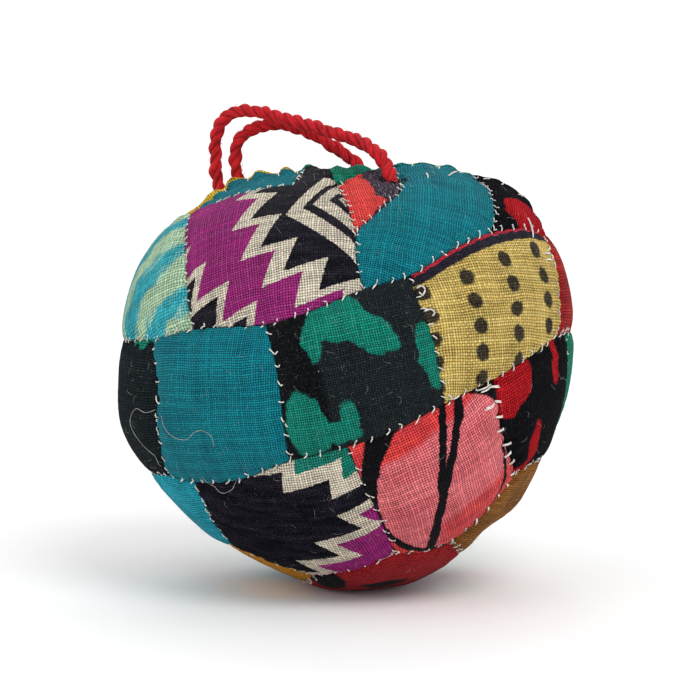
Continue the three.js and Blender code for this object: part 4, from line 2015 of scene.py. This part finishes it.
@dataclass
class LooseFibres:
    """Thin fibres that stand off the worn cloth and the cords, and stray threads lying on it."""

    surface: Surface
    seed: int = 23

    def __post_init__(self) -> None:
        """Rolls the fibres' blanks and starts the chance."""
        self.hair = ThreadBlank(3, 5)
        self.stray = ThreadBlank(5, 60)
        self.chance = np.random.default_rng(self.seed)

    def bent(self, ways: tuple, spans: tuple) -> list[Array]:
        """How far each fibre leans, stands up and curls.

        Args:
            ways: The direction of each for every fibre.
            spans: The least and the most of each, in millimetres.

        Returns:
            The three, by chance.
        """
        size = (len(ways[0]), 1)
        return [way * self.chance.uniform(*span, size) for way, span in zip(ways, spans)]

    def nap(self, count: int = 620) -> Piece:
        """Short fibres all over the cloth.

        Args:
            count: How many.

        Returns:
            All of them as one piece.
        """
        root = unit(self.chance.normal(size=(count, 3)))
        root[:, 2] = np.where(root[:, 2] < -0.85, -root[:, 2], root[:, 2])
        ground = MIDDLE + root * (self.surface.reach(root) - 0.1)[:, None]
        aside = unit(np.cross(root, self.chance.normal(size=(count, 3))))
        ways = (aside, root, np.cross(root, aside))
        parts = self.bent(ways, ((0.6, 2.4), (0.15, 0.9), (-1.2, 1.2)))
        return self.grow("cloth_nap", ground, parts, 0.024)

    def fuzz(self, cord: TwistedCord, count: int = 480) -> Piece:
        """Short fibres all along a cord.

        Args:
            cord: The cord.
            count: How many.

        Returns:
            All of them as one piece.
        """
        line = cord.line()
        pick = self.chance.integers(8, len(line) - 8, count)
        tangent = unit(line[pick + 1] - line[pick - 1])
        out = unit(np.cross(tangent, self.chance.normal(size=(count, 3))))
        ways = (tangent, out, np.cross(tangent, out))
        parts = self.bent(ways, ((-1.3, 1.3), (0.15, 0.55), (-1.1, 1.1)))
        return self.grow(f"{cord.name}_fuzz", line[pick] + out * 1.1, parts, 0.025)

    def fray(self, name: str, foot: Array, count: int, width: float) -> Piece:
        """Broken cloth threads round the foot of a cord.

        Args:
            name: What the piece is called.
            foot: Where the cord goes into the cloth, in millimetres.
            count: How many threads there are.
            width: Their radius.

        Returns:
            All of them as one piece.
        """
        up = unit(foot - MIDDLE)
        round_it = unit(np.cross(up, self.chance.normal(size=(count, 3))))
        away = self.chance.uniform(1.1, 2.6, (count, 1)) + 0.9 * round_it[:, :1]
        root = unit(foot + round_it * away - MIDDLE)
        ground = MIDDLE + root * self.surface.reach(root)[:, None]
        ways = (np.cross(up, round_it), root, round_it)
        parts = self.bent(ways, ((-1.6, 1.6), (0.15, 0.6), (-1.2, 0.8)))
        return self.grow(name, ground, parts, width)

    def grow(self, name: str, ground: Array, parts: list, width: float) -> Piece:
        """Grows one bent fibre from each root.

        Args:
            name: What the piece is called.
            ground: The roots.
            parts: How far each leans, stands up and curls at its tip.
            width: The fibre's radius.

        Returns:
            All the fibres as one piece.
        """
        lean, stand, curl = parts
        t = np.linspace(0, 1, self.hair.rings + 1)[None, :, None]
        paths = ground[:, None] + lean[:, None] * t + stand[:, None] * np.sin(2.2 * t)
        paths = paths + curl[:, None] * t**2
        paths[..., 2] = np.maximum(paths[..., 2], 0.1)
        widths = np.repeat(width * (1 - 0.55 * t[..., 0]), len(ground), 0)
        ups = np.repeat(unit(stand + 1e-6)[:, None], self.hair.rings + 1, 1)
        return self.hair.joined(name, self.hair.swept(paths, widths, ups))

    def strays(self, lines: list, width: float = 0.055) -> Piece:
        """Long thin threads that lie loose on the cloth.

        Args:
            lines: For each, the turns and rises that it passes over, in degrees.
            width: The thread's radius.

        Returns:
            All of them as one piece.
        """
        paths = []
        for line in lines:
            through = np.array([direction(*place) for place in line])
            fine = unit(one_line(smooth_line(through, 0.2 / REACH)))
            along = lengths_along(fine)
            towards = unit(sampled(fine, along, np.linspace(0, along[-1], self.stray.rings + 1)))
            paths.append(MIDDLE + towards * (self.surface.reach(towards) + 0.08)[:, None])
        paths = np.array(paths)
        widths = np.full(paths.shape[:2], width)
        points = self.stray.swept(paths, widths, unit(paths - MIDDLE))
        return self.stray.joined("stray_threads", points)


# ---- The studio ----


@dataclass
class Studio:
    """A pale floor, soft light and the camera."""

    distance: float = 0.9  # from the camera to the ball's middle, in metres
    lower_deg: float = 8.0  # how far the camera looks down
    seen: float = 0.1417  # how wide the view is at the ball
    sensor: float = 36.0
    target: tuple[float, float, float] = (0.00008, 0.0006, 0.0424)
    shift: Pair = (0.0057, 0.0357)  # how far the picture is moved, as shares of its width
    sky: float = 0.78

    def camera(self) -> None:
        """Sets the camera before the ball, a little above it."""
        data = bpy.data.cameras.new("camera")
        camera = placed("camera", data)
        down = radians(self.lower_deg)
        back = Vector((0.0, -cos(down), sin(down)))
        camera.location = Vector(self.target) + back * self.distance
        camera.rotation_mode = "QUATERNION"
        camera.rotation_quaternion = (-back).to_track_quat("-Z", "Y")
        data.sensor_width = self.sensor
        data.lens = self.sensor * self.distance / self.seen
        data.shift_x, data.shift_y = self.shift
        data.clip_start, data.clip_end = 0.05, 40.0
        bpy.context.scene.camera = camera

    def floor(self) -> None:
        """Lays the floor under the ball."""
        deselect()
        bpy.ops.mesh.primitive_plane_add(size=16.0, location=(0.0, 0.0, -0.0002))
        floor = bpy.context.object
        floor.name = "floor"
        finish = bpy.data.materials.new("pale_floor")
        finish.use_nodes = True
        shader = finish.node_tree.nodes["Principled BSDF"]
        shader.inputs["Base Color"].default_value = (0.95, 0.95, 0.95, 1.0)
        shader.inputs["Roughness"].default_value = 0.9
        dress(floor, finish)

    def light(self) -> None:
        """Hangs wide soft lights to the right, to the left and over the floor behind."""
        for name, place, target, size, power in (
            ("key_light", (0.45, -0.75, 1.05), (0.0, 0.0, 0.045), 0.7, 6.5),
            ("fill_light", (-0.9, -0.7, 0.5), (0.0, 0.0, 0.045), 0.9, 2.0),
            ("far_light", (0.0, 2.6, 2.2), (0.0, 3.0, 0.0), 2.5, 40.0),
        ):
            data = bpy.data.lights.new(name, "AREA")
            data.shape, data.size, data.energy = "DISK", size, power
            lamp = placed(name, data)
            lamp.location = place
            aim = Vector(target) - Vector(place)
            lamp.rotation_mode = "QUATERNION"
            lamp.rotation_quaternion = aim.to_track_quat("-Z", "Y")
        world = bpy.data.worlds.new("pale_room")
        world.use_nodes = True
        sky = world.node_tree.nodes["Background"]
        sky.inputs["Color"].default_value = (1.0, 1.0, 1.0, 1.0)
        sky.inputs["Strength"].default_value = self.sky
        bpy.context.scene.world = world
        bpy.context.scene.view_settings.view_transform = "Standard"


# ---- The ball ----

STRAY_LINES = (
    ((-57.5, -4.5), (-61, -5.5), (-65.5, -5), (-70.5, -9.5), (-68, -14), (-64, -17.5),
     (-63.5, -21)),
    ((-54, -5.5), (-53.5, -8), (-51, -10.5), (-46, -11), (-42, -8.5), (-39, -8),
     (-36.5, -9.5), (-36.5, -12)),
    ((-44.5, -22), (-44, -24), (-42.5, -25), (-39, -26.5), (-35, -25), (-33, -22.5)),
)


@dataclass
class PatchworkBall:
    """The whole ball: its scraps, their sewing, the hanging loop and loose fibres."""

    allowance: float = 1.2  # how deep the seam allowances lie
    white: SpunThread = SpunThread("white_sewing_thread", "eeebe4", "c6c0b8")
    pale: SpunThread = SpunThread("pale_fibre", "b9b7b4", "8f8d8c")
    red: SpunThread = SpunThread("red_fibre", "d6262d", "a8161f")
    navy: SpunThread = SpunThread("navy_thread", "262635", "101018")
    wardrobe: Wardrobe = field(default_factory=Wardrobe)
    net: SeamNet = field(init=False)
    skin: Piece = field(init=False)  # the seam allowances, which carry all the cloth
    surface: Surface = field(init=False)

    def add(self, piece: Piece, finish: Finish, on: Piece,
            slot: str) -> None:
        """Sets a piece on the one that carries it, dresses it and reports it.

        Args:
            piece: The new piece.
            finish: Its finish.
            on: What carries it.
            slot: The slot that it belongs to; not used.
        """
        piece.parent = on
        dress(piece, finish)
        log.info("%s: %d faces", piece.name, len(piece.data.polygons))

    def add_fibres(self, piece: Piece, thread: SpunThread) -> None:
        """Sets threads or fibres on the cloth."""
        self.add(piece, self.wardrobe.made_of(thread), self.skin, CLOTH_SLOT)

    def loop(self) -> list[TwistedCord]:
        """Makes the two strands of the hanging loop.

        Returns:
            The strands.
        """
        strands = [
            TwistedCord("front_strand", FRONT_ROUTE, "cord_front_strand", start_turn=20.0),
            TwistedCord("back_strand", BACK_ROUTE, "cord_back_strand", start_turn=140.0),
        ]
        for strand in strands:
            dress(strand.build(), self.wardrobe.made_of(CordYarn()))
            log.info("%s: %.0f mm of twisted cord", strand.name, lengths_along(strand.line())[-1])
        return strands

    def patchwork(self) -> None:
        """Makes the skin beneath and every scrap."""
        cover = Cover()
        self.net = SeamNet()
        skin = self.skin = cover.ground(self.allowance)
        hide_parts(BALL_NODE)
        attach(skin, BODY)
        cotton = SpunThread("seam_allowance_cotton", "3a3436", "221e22")
        dress(skin, self.wardrobe.made_of(cotton))
        maker = ScrapMaker(self.net, cover)
        scraps = []
        for scrap in SCRAPS:
            piece = maker.lay(scrap)
            self.add(piece, self.wardrobe.made_of(scrap.cloth.value), skin, CLOTH_SLOT)
            scraps.append(piece)
        self.surface = Surface(scraps)

    def sewing(self) -> None:
        """Sews the scraps together."""
        for piece in Needlework(self.net, self.surface).sew():
            self.add_fibres(piece, self.white)

    def fibres(self, strands: list[TwistedCord]) -> None:
        """Raises the nap, lays the stray threads and frays the front cord's foot.

        Args:
            strands: The cords, which get a fuzz of their own.
        """
        fibres = LooseFibres(self.surface)
        foot = np.array(FRONT_ROUTE[-1])
        self.add_fibres(fibres.nap(), self.pale)
        self.add_fibres(fibres.strays(STRAY_LINES), self.pale)
        self.add_fibres(fibres.fray("frayed_threads", foot, 190, 0.075), self.navy)
        self.add_fibres(fibres.fray("frayed_fibres", foot, 60, 0.03), self.pale)
        red = self.wardrobe.made_of(self.red)
        for strand in strands:
            self.add(fibres.fuzz(strand), red, bpy.data.objects[strand.name], CORD_SLOT)


def main() -> None:
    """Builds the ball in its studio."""
    logging.basicConfig(level=logging.INFO, format="%(message)s")
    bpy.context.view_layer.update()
    studio = Studio()
    studio.camera()
    ball = PatchworkBall()
    strands = ball.loop()
    ball.patchwork()
    ball.sewing()
    ball.fibres(strands)
    studio.floor()
    studio.light()


if __name__ == "__main__":
    main()
